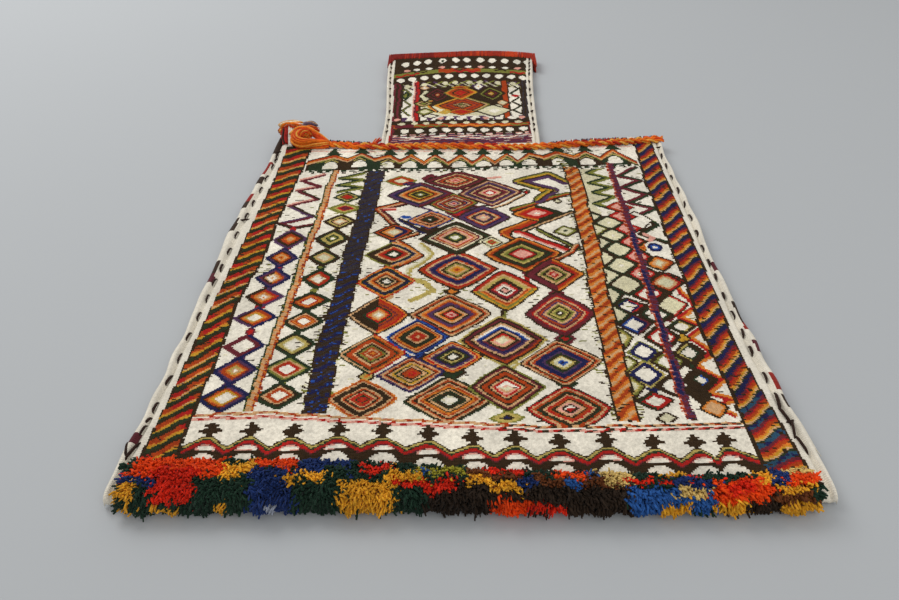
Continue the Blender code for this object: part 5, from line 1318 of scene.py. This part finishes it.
def make_overcast(name, node, low, high, letters):
    """Short stitches over the shoulder's back edge, with hairs that stand off it."""
    neck_foot, loose = -98, 12
    xs = np.arange(low, high, 1.7)
    s = np.linspace(0, 1, 9)
    paths = []
    for x in xs:
        lean, reach = rng.uniform(0.8, 3.0), rng.uniform(4.5, 7.0)
        edge = float(SHOULDER(x))
        y = edge - reach + (reach + 1.2) * np.sin(s * 1.9) / math.sin(1.57)
        face = float(ground(x, edge - 6))
        over = [face - 0.2, face + 2.4, face + 2.2, face - 3, face - 8.5]
        z = np.interp(s, [0, 0.25, 0.55, 0.8, 1], over) + rng.uniform(-0.5, 1.2)
        paths.append(np.stack([x + lean * s, y, z], -1))
    index = rng.integers(0, len(letters), len(paths))
    if low < -90:
        # Loose ends of red and orange yarn climb the neck's side from the cord
        for _ in range(loose):
            drift = rng.normal(0, 1.6)
            x, y = neck_foot - 3 + 9 * s + drift * (0.4 + s), 101 + rng.uniform(14, 26) * s
            z = ground(x, np.minimum(y, 104)) + 2.2 * np.sin(s * 3.0) - 1.0 + 0.3 * drift
            paths.append(np.stack([x, y, z], -1))
        xs = np.append(xs, np.full(loose, float(neck_foot)))
        index = np.append(index, np.arange(loose))
    # The knot at the neck's foot is orange and red
    shown = [letters[i] if abs(x - neck_foot) > 6 else "ORV"[i % 3] for i, x in zip(index, xs)]
    parts = [(yarns(paths, rng.uniform(0.7, 1.05, len(paths)), 6), cord_wool(shown))]
    add_yarns(name, parts, CORD, [node])


def make_binding():
    """Close turns of red yarn over both lips of the mouth."""
    s = np.linspace(0, 2 * np.pi, 14, endpoint=False)
    parts = []
    for front in (True, False):
        paths, numbers = [], []
        for x in np.arange(-91.5, 126.5, 1.75):
            edge = float(MOUTH(x))
            # The turns reach 14 mm down the neck, and further at both its corners
            reach = 14 + 27 * math.exp(-((x + 93) / 6.5) ** 2)
            reach += 24 * math.exp(-((x - 126) / 5.5) ** 2)
            reach += rng.normal(0, 0.6)
            level = float(ground(x, edge - 8)) if front else 3.0
            low = level - 2.8 if front else 0.0
            middle, half = (level + low) / 2, (level - low) / 2 + 0.75
            across_lip = np.sign(np.cos(s)) * np.abs(np.cos(s)) ** 0.35
            y = edge + 1.0 - reach / 2 + (reach / 2) * across_lip
            z = middle + half * np.sign(np.sin(s)) * np.abs(np.sin(s)) ** 0.7
            # The turns pile up into a roll along the lip
            z = z + (1.9 if front else 0) * np.clip(np.cos(s) + 0.3, 0, 1) * (np.sin(s) > 0)
            x_turn = x + 0.8 * np.cos(s) + rng.normal(0, 0.15)
            paths.append(np.stack([x_turn, y, np.maximum(z, 1.1)], -1))
            # From dark red at the left to red-orange at the right
            shade = 1.9 - 1.3 * float(near(x, -80, 60)) + 0.35 * math.sin(x / 8)
            shade += rng.normal(0, 0.15)
            numbers.append(int(np.clip(round(shade), 0, len(BINDING) - 1)))
        parts.append((yarns(paths, np.full(len(paths), 1.0), 5, closed=True), numbers))
    add_yarns("mouth_overcast", parts, BINDING, ["mouth_binding"])


def bundle(path, count, radius, thickness, twist, fray):
    """Yarns twisted loosely along a path of points (x, y, height over the face)."""
    path = np.array(path, float)
    t = np.linspace(0, 1, 24)
    places = t * (len(path) - 1)
    core = np.stack([np.interp(places, np.arange(len(path)), path[:, i]) for i in range(3)], -1)
    for _ in range(3):
        core[1:-1] = (core[:-2] + core[1:-1] * 2 + core[2:]) / 4
    along = np.gradient(core, axis=0)
    along /= np.linalg.norm(along, axis=1, keepdims=True)
    side = np.cross(along, [0, 0, 1.0])
    side /= np.linalg.norm(side, axis=1, keepdims=True)
    over = np.cross(side, along)
    angle = rng.uniform(0, 2 * np.pi, count)[:, None] + twist * t + 0.4 * np.sin(7 * t)
    swell = 0.75 + 0.25 * np.sin(np.pi * t)
    away = rng.uniform(0.15, 1, count)[:, None] ** 0.5 * radius * swell
    round_it = np.cos(angle)[..., None] * side + np.sin(angle)[..., None] * over
    paths = core + away[..., None] * round_it
    paths += rng.normal(0, 1, (count, 1, 3)) * fray * (t ** 3)[None, :, None]
    inside = np.minimum(paths[..., 1], SHOULDER(paths[..., 0]) - 4)
    paths[..., 2] = np.clip(paths[..., 2] + ground(paths[..., 0], inside), 2.5, 28)
    return yarns(paths, rng.uniform(0.75, 1.15, count) * thickness, 5, (1, 1, 1, 1, 0.55))


def make_tassel():
    """The cord's loose end: a thick hank that curls up on itself round a hollow, with a few
    coloured ends. Dark brown yarns in the hollow are its painted shade."""
    curl = [(-152, 108, 2.5), (-163, 105, 4.5)]
    for i, a in enumerate(np.radians(np.linspace(-35, -325, 11))):
        curl.append((-182 + (11.5 - 0.35 * i) * np.cos(a), 113 + (10.5 - 0.3 * i) * np.sin(a),
                     5.0 + 0.4 * i))
    parts = []

    def hank(path, count, radius, thickness, twist, fray, letters, odds=None):
        """A bundle whose yarns are picked from the letters; a single letter takes all of them."""
        group = bundle(path, count, radius, thickness, twist, fray)
        numbers = cord_wool(letters)
        one = len(numbers) == 1
        parts.append((group, numbers[0] if one else rng.choice(numbers, count, p=odds)))

    hank(curl, 84, 6.2, 1.15, 2.6, 0.8, "OYV", (0.58, 0.14, 0.28))
    # Yarns that close the curl over its back, loose ends, then a grey-purple tuft
    hank([(-197, 118, 7), (-190, 127, 10), (-178, 128, 11), (-166, 120, 8), (-153, 111, 4)],
         36, 4.4, 1.05, 1.5, 0.4, "OYV")
    hank([(-186, 130, 9), (-176, 134, 11), (-166, 132, 8)], 14, 2.6, 1.0, 1.0, 1.2, "OV")
    hank([(-189, 134, 9), (-183, 140, 11), (-176, 143, 11), (-171, 141, 8)],
         26, 3.2, 1.05, 1.2, 1.2, "PTPP")
    # The side's own selvedge rolls up into the tassel: a red roll, a white one and a knot of gold
    # and red
    hank([(-204, 110, 0), (-205, 120, 3), (-207, 130, 6), (-207, 137, 6)],
         26, 4.2, 1.1, 0.6, 0.6, "RRK")
    hank([(-197, 104, 1), (-198, 114, 4), (-199, 126, 7), (-200, 136, 8)],
         12, 2.6, 0.95, 0.6, 1.0, "E")
    hank([(-214, 131, 4), (-207, 137, 6), (-198, 139, 7), (-188, 137, 6)],
         32, 4.6, 1.1, 1.8, 1.4, "RVYE")
    hank([(-213, 134, 10), (-206, 139, 13), (-197, 140, 13), (-187, 138, 10)],
         32, 4.2, 1.1, 1.8, 1.8, "YOTE")
    # Dark brown yarns inside the curl: painted shade for its hollow
    hank([(-175, 108, 2), (-179, 112, 2.5), (-182, 116, 2.5), (-184, 119, 2)],
         10, 2.8, 1.0, 1.0, 0.5, "K")
    add_yarns("shoulder_tassel", parts, CORD, ["corner_tassel"])


def make_selvedge_ends():
    """White warp ends that hang out beside the pile at both bottom corners, frayed and felted."""
    paths, t = [], np.linspace(0, 1, 12)
    spread = 0.6 + 2.4 * t ** 1.5
    for start, middle, stop, count in (
        ((-241, -297), (-246, -322), (-251, -352), 22), ((239, -296), (244, -318), (247, -340), 18),
    ):
        line_x, line_y = ((1 - t) ** 2 * a + 2 * t * (1 - t) * b + t ** 2 * c
                          for a, b, c in zip(start, middle, stop))
        for _ in range(count):
            drift = rng.normal(0, 0.8, 2)
            x = line_x + drift[0] * spread * 0.55 + 0.5 * np.sin(t * 11 + drift[1] * 5)
            y = line_y + drift[1] * spread
            z = np.interp(t, [0, 0.3, 1], [8.5, 6.5, 3.0]) + rng.uniform(-1.2, 2.2) * (0.6 + t)
            paths.append(np.stack([x, y, z], -1))
    ends = yarns(paths, rng.uniform(0.4, 0.7, len(paths)), 5, (1, 1, 0.9, 0.5))
    add_yarns("selvedge_ends", [(ends, CORD_NUMBER["E"])], CORD)


cloth = make_cloth()
brocades = make_brocade()
make_seam("side_stitches_left", "side_seam_left", left_groove, LEFT_MARKS, 1.0)
make_seam("side_stitches_right", "side_seam_right", right_groove, RIGHT_MARKS, 1.0)
make_seam("neck_stitches_left", "neck_seam_left", left_neck_groove, LEFT_NECK_MARKS, 0.9)
make_seam("neck_stitches_right", "neck_seam_right", right_neck_groove, RIGHT_NECK_MARKS, 1.1)
make_pile("pile_foot_left", -237, -4)
make_pile("pile_foot_right", -4, 228)
make_selvedge_ends()
make_braid()
make_overcast("shoulder_stitches_left", "shoulder_overcast_left", -160, -96, "PEKG")
make_overcast("shoulder_stitches_right", "shoulder_overcast_right", 112, 244, "PEKKR")
make_binding()
make_tassel()


# ---- Floor, light and camera, in metres ----

def make_floor():
    """Plain pale floor under the bag."""
    mesh = bpy.data.meshes.new("floor")
    mesh.from_pydata([(-6, -6, 0), (6, -6, 0), (6, 6, 0), (-6, 6, 0)], [], [(0, 1, 2, 3)])
    material = bpy.data.materials.new("pale_matt_floor")
    material.use_nodes = True
    shader = material.node_tree.nodes["Principled BSDF"]
    shader.inputs["Base Color"].default_value = linear("#B1B4B6")
    shader.inputs["Roughness"].default_value = 0.85
    mesh.materials.append(material)
    floor = bpy.data.objects.new("floor", mesh)
    bpy.context.scene.collection.objects.link(floor)


def soft_lamp(name, place, size, power):
    """A square lamp, size metres wide, that faces the bag."""
    data = bpy.data.lights.new(name, "AREA")
    data.size, data.energy = size, power
    lamp = bpy.data.objects.new(name, data)
    lamp.location = place
    lamp.rotation_mode = "QUATERNION"
    lamp.rotation_quaternion = (-Vector(place)).to_track_quat("-Z", "Y")
    bpy.context.scene.collection.objects.link(lamp)


make_floor()
soft_lamp("window", (-1.2, 1.1, 1.7), 1.2, 25)
soft_lamp("fill", (1.4, -1.2, 1.6), 1.6, 8)
world = bpy.data.worlds.new("room")
world.use_nodes = True
world.node_tree.nodes["Background"].inputs["Color"].default_value = (1, 1, 1, 1)
world.node_tree.nodes["Background"].inputs["Strength"].default_value = 0.6
bpy.context.scene.world = world
bpy.context.scene.view_settings.view_transform = "Standard"

# The camera, fitted to the floor's square tiles: it looks down by 42.7 degrees and leans by 1.6
down, lean = math.radians(42.732), math.radians(-1.5517)
level_right, level_up = Vector((1, 0, 0)), Vector((0, math.sin(down), math.cos(down)))
camera_right = math.cos(lean) * level_right + math.sin(lean) * level_up
camera_up = math.cos(lean) * level_up - math.sin(lean) * level_right
camera_back = Vector((0, -math.cos(down), math.sin(down)))
eye = bpy.data.cameras.new("camera")
eye.lens, eye.sensor_width, eye.clip_start = 25.845, 36, 0.02
camera = bpy.data.objects.new("camera", eye)
camera.matrix_world = Matrix.Translation((-0.009, -0.590768, 0.40187)) @ Matrix(
    (camera_right, camera_up, camera_back)).transposed().to_4x4()
bpy.context.scene.collection.objects.link(camera)
bpy.context.scene.camera = camera
